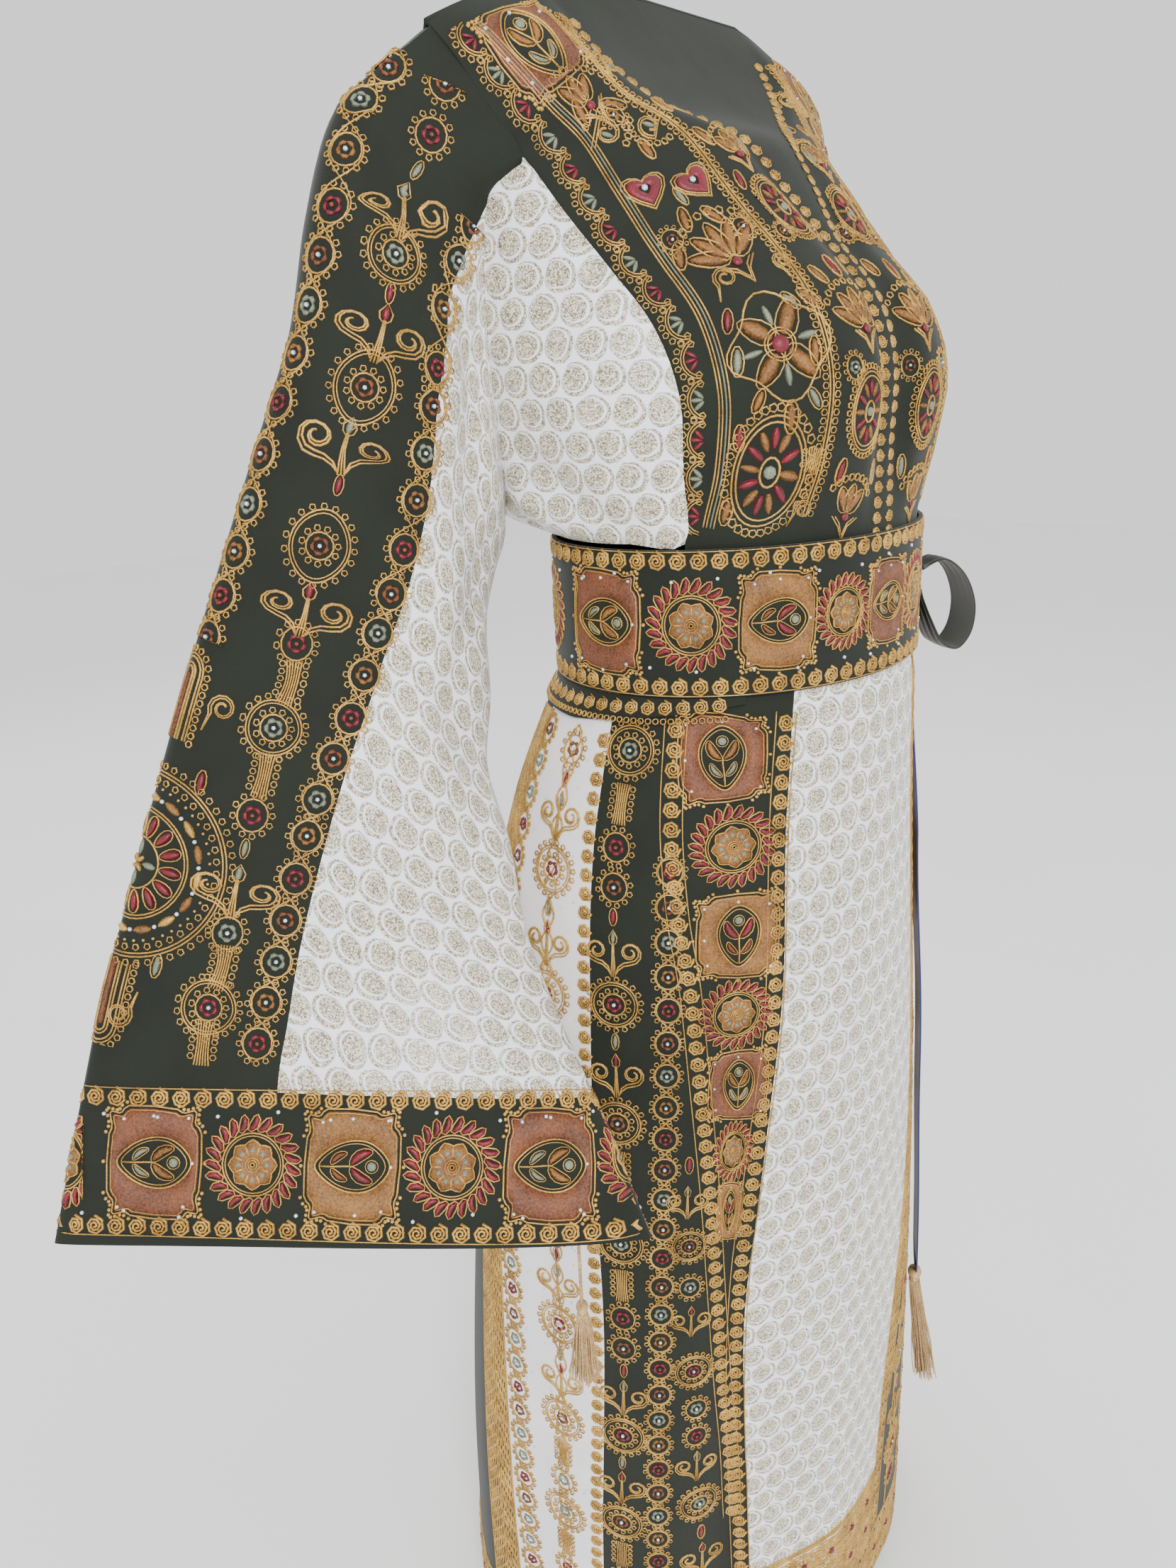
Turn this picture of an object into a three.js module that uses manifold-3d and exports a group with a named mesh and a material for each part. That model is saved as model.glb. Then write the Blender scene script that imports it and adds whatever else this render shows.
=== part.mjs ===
// A long embroidered thobe with wide bell sleeves, a wrapped belt with a tied sash, and tassels.
// Millimetres, +Z up. The origin is the middle of the neck opening at shoulder height. The front
// faces -Y and the wearer's right hand is towards -X. Every piece is a thin wall through sections.

import * as THREE from 'three';
import { mergeVertices } from 'three/addons/utils/BufferGeometryUtils.js';
import Module from 'manifold-3d';

const CLOTH = 2;              // dress cloth with its couched cords
const BAND = 2.6;             // belt and cuffs, which are stiffened
const SEAM = 0.15;            // each piece stops this far short of a seam
const CLEAR = 0.4;            // gap between pieces that lie on each other
const DEGREE = Math.PI / 180;

const GREEN = '#2b3328';
const WHITE = '#e6e3df';
const BROCADE = '#cfc6b4';
const GOLD = '#b8904c';
const BEIGE = '#bd9f72';

const table = (columns, rows) => rows.map(
  row => Object.fromEntries(columns.map((name, k) => [name, row[k]])));

// Rings of the dress from the waist down: how far each lies below the shoulder, its half width
// and half depth, and its middle across and front to back.
const RINGS = table(['down', 'halfWidth', 'halfDepth', 'midX', 'midY'], [
  [318, 137.4, 110.4, 0, -72],
  [366, 137.4, 110.4, 0, -72],
  [412, 137.4, 110.4, 0, -72],
  [428, 143, 115.5, -3, -70],
  [500, 161, 130, -11, -59],
  [600, 177, 145, -13, -48],
  [750, 192, 158, -12, -40],
  [900, 203, 169, -11, -32],
  [1050, 211, 177, -8, -23],
  [1190, 214, 182, -4, -16],
  [1250, 215, 184, -1, -12],
]);
const WAIST_TOP = 318;        // the bodice meets the belt's top edge here
const WAIST_SEAM = 366;       // bodice and skirt are joined under the belt
const HEM_BAND_TOP = 1186;
const HEM = 1250;

// Soft flutes of the skirt: angle from the front towards the wearer's right, width of the flute
// in degrees, where it starts, and how far it stands out at the hem (negative is a trough).
const FLUTES = table(['angle', 'spread', 'start', 'depth'], [
  [-165, 12, 560, 8], [-140, 10, 500, -7], [-112, 11, 600, 7], [-84, 8, 520, -6],
  [-52, 9, 620, 5], [-12, 9, 640, -4], [10, 8, 700, 4], [38, 5, 560, -9],
  [56, 8, 640, 4], [82, 7, 560, -5], [104, 9, 600, 6], [140, 10, 520, -7], [166, 11, 600, 7],
]);

// Seams of the skirt: at each height, the angle where one panel ends and the next begins.
const SEAMS = table(['down', 'frontLeft', 'front', 'side', 'back', 'sideLeft', 'backLeft'], [
  [366, -31, 31, 86, 120, -86, -120],
  [425, -31, 30.5, 84, 118, -84, -118],
  [480, -31, 28.6, 79.5, 115, -80, -115],
  [600, -31, 26.8, 73.5, 109, -74, -109],
  [720, -29, 30.5, 70.5, 104, -71, -104],
  [850, -22, 34.4, 66.9, 99, -67, -99],
  [950, -16, 34, 66.2, 96, -66, -96],
  [1050, -11, 32.6, 66.2, 93.5, -66, -93],
  [1186, -8, 31.5, 66.2, 91.5, -66, -91],
]);

// Armhole of the wearer's right side, round which the sleeve is sewn, in 28 equal stitches:
// 0 is the shoulder tip, 4 the front point, 14 the underarm and 24 the back point.
const ARMHOLE_STEPS = 28;
const FRONT_POINT = 4;
const ARMHOLE = table(['step', 'x', 'y', 'z'], [
  [0, -185, 0, -37], [2, -171, -20, -68], [4, -150, -36, -107], [5, -159, -29, -116],
  [6, -168, -24, -128], [8, -173, -23, -178], [10, -169, -20, -231], [12, -158, -11, -276],
  [13, -150, -2, -293], [14, -146, 8, -299], [15, -147, 18, -293], [16, -151, 27, -278],
  [18, -161, 40, -230], [20, -163, 45, -176],
  [22, -157, 46, -126], [24, -147, 44, -105], [26, -168, 25, -67], [28, -185, 0, -37],
]);
const ARMHOLE_MIDDLE = { y: 8, z: -175, halfDepth: 35, halfHeight: 130, sideways: -0.7 };

// Right half of the bodice front, row by row from the shoulder to the waist: its inner edge runs
// down the neckline and the slit and then the middle; its outer edge is the armhole up to row 4
// and then the side seam. The fullness is how far the middle of a row stands out.
const FRONT_ROWS = table(
  ['row', 'inX', 'inY', 'inZ', 'seamX', 'seamY', 'seamZ', 'fullY', 'fullZ'], [
    [0, -85, 0, 0, -185, 0, -37, 0, 3],
    [1, -83, -20, -28, -179, -11, -51, -5, 8],
    [2, -74, -38, -50, -171, -20, -68, -8, 8],
    [3, -52, -64, -75, -161, -29, -88, -9, 8],
    [4, -20, -96, -93, -150, -36, -107, -12, 8],
    [5, -11, -119, -121, -147, -62, -138, -16, 6],
    [6, 0, -142, -151, -141, -90, -170, -21, 4],
    [7, 0, -172, -186, -134, -115, -201, -27, 2],
    [8, 0, -185, -224, -129, -128, -238, -29, 0],
    [9, 0, -184, -270, -126, -127, -278, -25, 0],
  ]);
const WAIST_ROW = 10;
const HIDDEN_ROW = 11;
const BUST = { y: -62, z: -150, halfWidth: 140, halfDepth: 112, rise: 240 };
const FRONT_SEAM_ANGLE = 62;
const BACK_SEAM_ANGLE = 150;
const GUSSET_WAIST_EASE = 0.8; // below 1 the gusset's first stitches take more of the waist

// Right half of the back, in the same way; its inner edge is the neckline down to row 2.
const BACK_ROWS = table(
  ['row', 'inX', 'inY', 'inZ', 'seamX', 'seamY', 'seamZ', 'fullY', 'fullZ'], [
    [0, -85, 0, 0, -185, 0, -37, 0, 3],
    [1, -50, 20, -18, -178, 13, -51, 2, 15],
    [2, 0, 29, -30, -168, 25, -67, 5, 20],
    [3, 0, 42, -58, -158, 36, -85, 9, 12],
    [4, 0, 51, -92, -147, 44, -105, 12, 5],
    [5, 0, 56, -128, -143, 46, -142, 15, 0],
    [6, 0, 58, -162, -138, 45, -178, 17, 0],
    [7, 0, 56, -200, -130, 40, -214, 18, 0],
    [8, 0, 51, -240, -117, 32, -250, 17, 0],
    [9, 0, 45, -280, -98, 25, -285, 14, 0],
  ]);

// The right sleeve from the armhole to the hem: top fold, under fold, how far the front and the
// back stand from the plane between them, and how far round from the top fold the green panel
// reaches, in stitches. The left sleeve is the same, but hangs further back.
const SLEEVE = table(
  ['part', 'topX', 'topY', 'topZ', 'underX', 'underY', 'underZ', 'front', 'back', 'green'], [
    [0, -185, 0, -37, -146, 8, -299, 33, 33, 6],
    [1, -229, 20, -76, -150, 8, -322, 38, 39, 6.3],
    [2, -258, 15, -130, -163, 9, -345, 41, 43, 6.4],
    [3, -277, 18, -192, -177, 4, -377, 41, 44, 6.8],
    [4, -303, 31, -254, -188, -14, -415, 39, 45, 7.1],
    [5, -329, 43, -317, -203, -26, -455, 37, 46, 7.0],
    [6, -356, 50, -377, -209, -50, -497, 35, 47, 6.6],
    [7, -383, 54, -438, -218, -70, -545, 32, 48, 6.3],
    [8, -410, 57, -500, -223, -93, -580, 28, 49, 6.1],
    [9, -432, 58, -548, -228, -118, -610, 25, 50, 6],
    [10, -452, 56, -595, -232, -138, -632, 22, 51, 5.9],
    [11, -488, 51, -682, -240, -189, -703, 17, 53, 5.8],
  ]);
const LEFT_BACKWARDS = 105;   // how much further back the left sleeve's hem hangs
const HEM_WAVES = 6;          // the stiff hem stands in and out by this much
const LEFT_GROWTH = 1.3;      // it moves back slowly at the shoulder and faster at the hem
const LEFT_OUTWARDS = 0.1;    // share of that distance by which it also moves out
const CUFF_START = 10;
const CUFF_GAP = 0.003;       // the cuff starts this share of a part below the sleeve
const SLEEVE_END = 11;

const BELT = { top: 322, bottom: 411, stand: 3.6 };
const UNDERLAP = {
  top: 411.6, shallow: 416, deep: 430, from: 45, grown: 100, to: 300, stand: 2.8, thick: 1.9,
};

// The sash is tied at the wearer's left front: one drooping loop and one long tail.
const KNOT = { angle: -64, down: 372, across: 13, high: 15, deep: 8 };
const LOOP_WIDTH = 34;
const LOOP_GATHERED = 0.55;   // the loop's width at the knot, as a share of its full width
const LOOP_PATH = table(['out', 'down'], [
  [8.6, -4], [25, -10], [41, 2], [50, 24], [48, 46], [37, 59], [24, 54], [14, 34], [6.6, 12.6],
]);
const TAIL = {
  from: 392, to: 986, angle: -41, width: 40, stand: 3.6, footStand: 9, round: 20, bow: 1.5,
  gathered: 0.45, gatheredFor: 50, lifted: 6, liftedFor: 60, swungFor: 160, narrowest: 0.16,
};

const STRANDS = 20;
const SASH_TASSEL = { length: 122, headRadius: 6, headHeight: 15, spread: 10, stem: 0, lean: 14 };
const CUFF_TASSEL = { length: 62, headRadius: 4, headHeight: 10, spread: 11, stem: 60, lean: 0 };
const STRAND_RADIUS = 0.8;
const STRAND_UNEVEN = 3;
const GOLDEN_TURN = 2.399963; // spreads the strands evenly round
const CUFF_TASSEL_STEP = 17.2;

const point = (x, y, z) => new THREE.Vector3(x, y, z);
const mix = (a, b, share) => a.clone().lerp(b, share);

// Smooth value of one column of a table at any place between its rows.
function smooth(rows, key, column, place) {
  const last = rows.length - 1;
  if (place <= rows[0][key]) return rows[0][column];
  if (place >= rows[last][key]) return rows[last][column];
  let i = 0;
  while (rows[i + 1][key] < place) i += 1;
  const slope = k => {
    const before = rows[Math.max(k - 1, 0)];
    const after = rows[Math.min(k + 1, last)];
    return (after[column] - before[column]) / (after[key] - before[key]);
  };
  const width = rows[i + 1][key] - rows[i][key];
  const u = (place - rows[i][key]) / width;
  const rise = u * u * (3 - 2 * u);
  return rows[i][column] * (1 - rise) + rows[i + 1][column] * rise
    + width * (slope(i) * u * (1 - u) * (1 - u) - slope(i + 1) * u * u * (1 - u));
}

// Point of the dress below the waist, `angle` degrees from the front towards the right hand,
// standing out from the cloth by `stand`.
function ringPoint(down, angle, stand = 0) {
  const value = column => smooth(RINGS, 'down', column, down);
  let swell = stand;
  for (const flute of FLUTES) {
    const off = ((angle - flute.angle + 540) % 360 - 180) / flute.spread;
    const grown = Math.max(0, (down - flute.start) / (HEM - flute.start));
    swell += flute.depth * grown * Math.exp(-off * off);
  }
  const sin = Math.sin(angle * DEGREE);
  const cos = Math.cos(angle * DEGREE);
  return point(
    value('midX') - (value('halfWidth') + swell) * sin,
    value('midY') - (value('halfDepth') + swell) * cos, -down);
}

// Outward direction of a surface from two small steps on it.
function outward(surface, u, v, step) {
  const along = surface(u + step, v).sub(surface(u - step, v));
  const across = surface(u, v + step).sub(surface(u, v - step));
  return along.cross(across).normalize();
}
const ringOut = (down, angle) => outward((a, d) => ringPoint(d, a), angle, down, 0.5);

const armholePoint = step => point(...['x', 'y', 'z'].map(
  column => smooth(ARMHOLE, 'step', column, step)));

// Direction in which the cloth's thickness lies at a stitch of the armhole, the same for both its
// sides. Under the arm the seam is a valley between gusset and sleeve, and the direction halves it.
function armholeOut(step) {
  const at = armholePoint(step);
  const y = (at.y - ARMHOLE_MIDDLE.y) / ARMHOLE_MIDDLE.halfDepth ** 2;
  const z = (at.z - ARMHOLE_MIDDLE.z) / ARMHOLE_MIDDLE.halfHeight ** 2;
  const size = Math.hypot(y, z);
  const away = point(ARMHOLE_MIDDLE.sideways, y / size, z / size).normalize();
  if (step <= FRONT_POINT || step >= ARMHOLE_STEPS - FRONT_POINT) return away;
  const along = armholePoint(step + 0.1).sub(armholePoint(step - 0.1)).normalize();
  const square = to => to.sub(at).addScaledVector(along, -to.dot(along)).normalize();
  const spread = square(gussetBorder(step)).sub(square(sleevePoint(1, step)));
  const halving = along.cross(spread).normalize();
  return halving.multiplyScalar(Math.sign(halving.dot(away)));
}

// The same for the bodice's other seams, as if it were one egg.
function bodiceOut(at) {
  const x = at.x / BUST.halfWidth ** 2;
  const y = (at.y - BUST.y) / BUST.halfDepth ** 2;
  const z = Math.max(at.z - BUST.z, 0) / BUST.rise ** 2;
  return point(x, y, z).normalize();
}

// Point of a bodice half, `share` of the way from its inner to its outer edge.
function bodicePoint(rows, row, share, waistAngle, middleAngle) {
  if (row >= WAIST_ROW) {
    const down = row === WAIST_ROW ? WAIST_TOP : WAIST_SEAM;
    const at = ringPoint(down, middleAngle + (waistAngle - middleAngle) * share);
    if (share === 0) at.x = 0;
    return at;
  }
  const r = rows[row];
  const seam = point(r.seamX, r.seamY, r.seamZ);
  const at = mix(point(r.inX, r.inY, r.inZ), seam, share);
  const full = 4 * share * (1 - share);
  return at.add(point(0, r.fullY * full, r.fullZ * full));
}

// Side seam point of the bodice for rows 4 to 10.
const seamPoint = (rows, row, waistAngle) => bodicePoint(rows, row, 1, waistAngle, 0);

// Point on the outer border of the side gusset that faces a given armhole step.
const GUSSET_FIRST = FRONT_POINT;
const GUSSET_LAST = ARMHOLE_STEPS - FRONT_POINT;
const SEAM_STEPS = WAIST_ROW - FRONT_POINT;
function gussetBorder(step) {
  const fromFront = step - GUSSET_FIRST;
  const fromBack = GUSSET_LAST - step;
  const row = FRONT_POINT + Math.min(fromFront, fromBack);
  if (fromFront <= SEAM_STEPS) return seamPoint(FRONT_ROWS, row, FRONT_SEAM_ANGLE);
  if (fromBack <= SEAM_STEPS) return seamPoint(BACK_ROWS, row, BACK_SEAM_ANGLE);
  return ringPoint(WAIST_TOP, gussetWaistAngle(step));
}
function gussetWaistAngle(step) {
  const first = GUSSET_FIRST + SEAM_STEPS;
  const last = GUSSET_LAST - SEAM_STEPS;
  const share = ((step - first) / (last - first)) ** GUSSET_WAIST_EASE;
  return FRONT_SEAM_ANGLE + (BACK_SEAM_ANGLE - FRONT_SEAM_ANGLE) * share;
}

// Sleeve point: `part` runs from the armhole to the hem and `step` goes round from the top fold
// through the front, as on the armhole.
function sleevePoint(part, step) {
  const loop = armholePoint((step + ARMHOLE_STEPS) % ARMHOLE_STEPS);
  if (part <= 0) return loop;
  if (part < 1) return mix(loop, sleevePoint(1, step), part);
  const value = column => smooth(SLEEVE, 'part', column, part);
  const top = point(value('topX'), value('topY'), value('topZ'));
  const under = point(value('underX'), value('underY'), value('underZ'));
  const turn = step / ARMHOLE_STEPS * 360 * DEGREE;
  const low = Math.min(part, SLEEVE_END - 0.5);
  const path = column => smooth(SLEEVE, 'part', column, low + 0.5)
    - smooth(SLEEVE, 'part', column, low - 0.5);
  const run = point(...['X', 'Y', 'Z'].map(axis => path(`top${axis}`) + path(`under${axis}`)));
  const front = run.cross(under.clone().sub(top)).normalize();
  const side = Math.sin(turn) > 0 ? value('front') : value('back');
  const wave = HEM_WAVES * (part / SLEEVE_END) ** 2 * Math.sin(turn) * Math.sin(2 * turn);
  return mix(top, under, (1 - Math.cos(turn)) / 2)
    .addScaledVector(front, side * Math.sin(turn) - wave);
}
// The left sleeve's shape before it is turned to its own side.
function leftSleevePoint(part, step) {
  const back = LEFT_BACKWARDS * (part / SLEEVE_END) ** LEFT_GROWTH;
  return sleevePoint(part, step).add(point(back * LEFT_OUTWARDS, back, 0));
}
const sleeveOut = (surface, part, step) => (part <= 0
  ? armholeOut((step + ARMHOLE_STEPS) % ARMHOLE_STEPS)
  : outward((p, s) => surface(Math.min(p, SLEEVE_END), s), part, step, 0.02));

// Any order of the points will do, as long as both sides of a seam find the same one.
const RANK_BY_Y = 1.3;
const RANK_BY_Z = 1.7;

// A sheet is a list of points, with an outward direction for those that share a seam, and a list
// of faces. Grids that meet are added to one sheet, where equal points become one.
class Sheet {
  constructor() {
    this.points = [];
    this.outs = [];
    this.faces = [];
    this.known = new Map();
  }

  vertex(at, out) {
    const key = [at.x, at.y, at.z].map(value => Math.round(value * 100)).join();
    if (!this.known.has(key)) {
      this.known.set(key, this.points.length);
      this.points.push(at);
      this.outs.push(out ?? null);
    }
    return this.known.get(key);
  }

  // surface(i, j) gives a point and, if it matters, its outward direction.
  grid(rows, columns, surface) {
    const index = [];
    for (let i = 0; i <= rows; i += 1) {
      index.push([]);
      for (let j = 0; j <= columns; j += 1) {
        const { at, out } = surface(i, j);
        index[i].push(this.vertex(at, out));
      }
    }
    for (let i = 0; i < rows; i += 1) {
      for (let j = 0; j < columns; j += 1) {
        this.face(index[i][j], index[i + 1][j], index[i + 1][j + 1]);
        this.face(index[i][j], index[i + 1][j + 1], index[i][j + 1]);
      }
    }
    return this;
  }

  face(a, b, c) {
    if (a !== b && b !== c && c !== a) this.faces.push([a, b, c]);
  }

  // The sheet becomes a closed wall: its edge is drawn in by the seam allowance, a second skin
  // lies inside it, and a narrow border closes it all round.
  wall(thickness, mirror = false, inset = SEAM) {
    const directed = new Map();
    const normals = this.points.map(() => point(0, 0, 0));
    for (const face of this.faces) {
      const [a, b, c] = face.map(k => this.points[k]);
      const normal = b.clone().sub(a).cross(c.clone().sub(a));
      face.forEach(k => normals[k].add(normal));
      face.forEach((k, n) => directed.set(`${k},${face[(n + 1) % 3]}`, [k, face[(n + 1) % 3]]));
    }
    const outs = normals.map((normal, k) => this.outs[k] ?? normal.normalize());
    const border = [...directed.values()].filter(([a, b]) => !directed.has(`${b},${a}`));
    const pull = this.points.map(() => point(0, 0, 0));
    for (const [a, b] of border) {
      const along = this.points[b].clone().sub(this.points[a]);
      const inner = outs[a].clone().add(outs[b]).cross(along).normalize();
      pull[a].add(inner);
      pull[b].add(inner);
    }
    const skin = this.points.map((at, k) => at.clone().addScaledVector(
      pull[k], inset / Math.max(pull[k].lengthSq() / 2, 1)));
    const lining = skin.map((at, k) => at.clone().addScaledVector(outs[k], -thickness));
    const count = this.points.length;
    const faces = [];
    for (const [a, b, c] of this.faces) faces.push([a, b, c], [a + count, c + count, b + count]);
    // Neighbours split the border along the same diagonal, so that twisted seams still fit.
    const rank = k => Math.abs(this.points[k].x)
      + RANK_BY_Y * this.points[k].y + RANK_BY_Z * this.points[k].z;
    for (const [a, b] of border) {
      if (rank(a) > rank(b)) faces.push([b, a, a + count], [b, a + count, b + count]);
      else faces.push([b, a, b + count], [a, a + count, b + count]);
    }
    const geometry = new THREE.BufferGeometry();
    const side = mirror ? -1 : 1;
    geometry.setAttribute('position', new THREE.Float32BufferAttribute(
      [...skin, ...lining].flatMap(at => [at.x * side, at.y, at.z]), 3));
    geometry.setIndex(faces.flatMap(([a, b, c]) => (mirror ? [a, c, b] : [a, b, c])));
    return geometry;
  }
}

const group = new THREE.Group();
function add(name, geometry, color, roughness = 0.85, metalness = 0) {
  const material = new THREE.MeshStandardMaterial({ color, roughness, metalness });
  const mesh = new THREE.Mesh(geometry, material);
  mesh.name = name;
  group.add(mesh);
}

// One skirt panel between two seams, from the waist seam to the hem band.
const SKIRT_ROWS = [WAIST_SEAM, 412, 428, 470, 530, 600, 680, 770, 860, 950, 1050, 1120, HEM_BAND_TOP];
function skirtPanel(fromColumn, toColumn, columns) {
  return new Sheet().grid(SKIRT_ROWS.length - 1, columns, (i, j) => {
    const down = SKIRT_ROWS[i];
    const from = smooth(SEAMS, 'down', fromColumn, down);
    let to = smooth(SEAMS, 'down', toColumn, down);
    if (to < from) to += 360;
    const angle = to + (from - to) * j / columns;
    return { at: ringPoint(down, angle), out: ringOut(down, angle) };
  }).wall(CLOTH);
}
add('skirt_front', skirtPanel('frontLeft', 'front', 12), BROCADE, 0.7);
add('skirt_side_front_right', skirtPanel('front', 'side', 10), GREEN);
add('skirt_side_front_left', skirtPanel('sideLeft', 'frontLeft', 10), GREEN);
add('skirt_side_right', skirtPanel('side', 'back', 6), WHITE);
add('skirt_side_left', skirtPanel('backLeft', 'sideLeft', 6), WHITE);
add('skirt_back', skirtPanel('back', 'backLeft', 20), GREEN);

// A band all round the dress between two heights, or only part of the way round.
function ringBand(top, bottom, from, to, columns, stand, thickness) {
  return new Sheet().grid(1, columns, (i, j) => {
    const angle = to + (from - to) * j / columns;
    const down = i ? bottom(angle) : top;
    return { at: ringPoint(down, angle, stand), out: ringOut(down, angle) };
  }).wall(thickness);
}
add('hem_band', ringBand(HEM_BAND_TOP, () => HEM, 0, 360, 60, 0, CLOTH), GREEN);
const underlapBottom = angle => UNDERLAP.shallow + (UNDERLAP.deep - UNDERLAP.shallow)
  * Math.min((angle - UNDERLAP.from) / (UNDERLAP.grown - UNDERLAP.from), 1);
add('belt_underlap', ringBand(UNDERLAP.top, underlapBottom, UNDERLAP.from, UNDERLAP.to, 51,
  UNDERLAP.stand, UNDERLAP.thick), GOLD, 0.6, 0.3);

function beltPoint(down, angle, stand = 0) {
  return ringPoint(WAIST_SEAM, angle, BELT.stand + stand).setZ(-down);
}
add('belt', new Sheet().grid(1, 60, (i, j) => {
  const angle = 360 - 6 * j;
  return { at: beltPoint(i ? BELT.bottom : BELT.top, angle), out: ringOut(WAIST_SEAM, angle) };
}).wall(BAND), GREEN);

const SHOULDER_OUT = point(-0.25, 0, 1).normalize();
// Front and back of the bodice: both halves in one piece, so the right half's grid is repeated
// with its x turned round.
function bodicePanel(rows, waistAngle, middleAngle, backwards) {
  const sheet = new Sheet();
  const columns = 7;
  for (const side of [1, -1]) {
    sheet.grid(HIDDEN_ROW, columns, (i, j) => {
      const share = (side > 0) !== backwards ? 1 - j / columns : j / columns;
      const at = bodicePoint(rows, i, share, waistAngle, middleAngle);
      let out = null;
      if (share === 1 || i >= WAIST_ROW) out = bodiceOut(at);
      if (i === 0) out = mix(SHOULDER_OUT, armholeOut(0), share).normalize();
      if (share === 1 && i <= FRONT_POINT) {
        const step = backwards ? (ARMHOLE_STEPS - i) % ARMHOLE_STEPS : i;
        at.copy(armholePoint(step));
        out = armholeOut(step);
      }
      at.x *= side;
      if (out) out.x *= side;
      return { at, out };
    });
  }
  return sheet.wall(CLOTH);
}
add('bodice_front', bodicePanel(FRONT_ROWS, FRONT_SEAM_ANGLE, 0, false), GREEN);
add('bodice_back', bodicePanel(BACK_ROWS, BACK_SEAM_ANGLE, 180, true), GREEN);

// Brocade side gusset between the armhole and the seams of the front, the waist and the back.
const GUSSET_ROWS = 5;
const GUSSET_FULL = 0.1;      // how far it stands out, as a share of its width
function gusset(mirror) {
  const sheet = new Sheet().grid(GUSSET_ROWS, GUSSET_LAST - GUSSET_FIRST, (i, j) => {
    const step = GUSSET_LAST - j;
    const share = i / GUSSET_ROWS;
    const border = gussetBorder(step);
    const at = mix(armholePoint(step), border, share);
    const width = armholePoint(step).distanceTo(border);
    at.addScaledVector(bodiceOut(at).setZ(0), GUSSET_FULL * width * 4 * share * (1 - share));
    let out = null;
    if (i === 0 || j === 0 || step === GUSSET_FIRST) out = armholeOut(step);
    else if (i === GUSSET_ROWS) out = bodiceOut(at);
    return { at, out };
  });
  const first = GUSSET_FIRST + SEAM_STEPS;
  const last = GUSSET_LAST - SEAM_STEPS;
  sheet.grid(1, last - first, (i, j) => {
    const step = last - j;
    const at = ringPoint(i ? WAIST_SEAM : WAIST_TOP, gussetWaistAngle(step));
    return { at, out: bodiceOut(at) };
  });
  return sheet.wall(CLOTH, mirror);
}

// A piece of one sleeve between two section numbers, from one place round it to another.
function sleevePiece(surface, parts, from, to, columns, thickness) {
  return new Sheet().grid(parts.length - 1, columns, (i, j) => {
    const start = from(parts[i]);
    const step = start + (to(parts[i]) - start) * j / columns;
    return { at: surface(parts[i], step), out: sleeveOut(surface, parts[i], step) };
  }).wall(thickness, surface === leftSleevePoint);
}
const SLEEVE_PARTS = [0, 0.5, 1, 1.6, 2.3, 3, 4, 5, 6, 7, 8, 9, CUFF_START];
const CUFF_PARTS = [CUFF_START + CUFF_GAP, (CUFF_START + SLEEVE_END) / 2, SLEEVE_END];
const greenEdge = part => smooth(SLEEVE, 'part', 'green', part);
for (const [side, surface] of [['right', sleevePoint], ['left', leftSleevePoint]]) {
  add(`bodice_gusset_${side}`, gusset(side === 'left'), BROCADE, 0.7);
  add(`sleeve_top_${side}`, sleevePiece(
    surface, SLEEVE_PARTS, part => -greenEdge(part), greenEdge, 12, CLOTH), GREEN);
  const farEdge = part => ARMHOLE_STEPS - greenEdge(part);
  add(`sleeve_under_${side}`, sleevePiece(
    surface, SLEEVE_PARTS, greenEdge, farEdge, 16, CLOTH), BROCADE, 0.7);
  add(`cuff_${side}`, sleevePiece(
    surface, CUFF_PARTS, () => 0, () => ARMHOLE_STEPS, ARMHOLE_STEPS, BAND), GREEN);
}

// Frame at a place on the belt or skirt: outwards, across towards the front's right, and down.
function sashFrame(angle, down) {
  const out = ringOut(down, angle).setZ(0).normalize();
  return { out, across: point(0, 0, 1).cross(out) };
}

const knotFrame = sashFrame(KNOT.angle, KNOT.down);
const knotAt = beltPoint(KNOT.down, KNOT.angle, KNOT.deep + CLEAR);
const knot = new THREE.SphereGeometry(1, 14, 10);
knot.applyMatrix4(new THREE.Matrix4().makeBasis(
  knotFrame.across.clone().multiplyScalar(KNOT.across),
  knotFrame.out.clone().multiplyScalar(KNOT.deep),
  point(0, 0, -KNOT.high)).setPosition(knotAt));

// The loop leaves the knot's outer side, droops and comes back under it.
const loopCurve = new THREE.CatmullRomCurve3(LOOP_PATH.map(({ out, down }) => knotAt.clone()
  .addScaledVector(knotFrame.out, out).add(point(0, 0, -down))));
const LOOP_STEPS = 26;
const loop = new Sheet().grid(LOOP_STEPS, 2, (i, j) => ({
  at: loopCurve.getPoint(i / LOOP_STEPS).addScaledVector(
    knotFrame.across, LOOP_WIDTH * (0.5 - j / 2)
      * (LOOP_GATHERED + (1 - LOOP_GATHERED) * Math.sin(Math.PI * i / LOOP_STEPS))),
})).wall(CLOTH);

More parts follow.
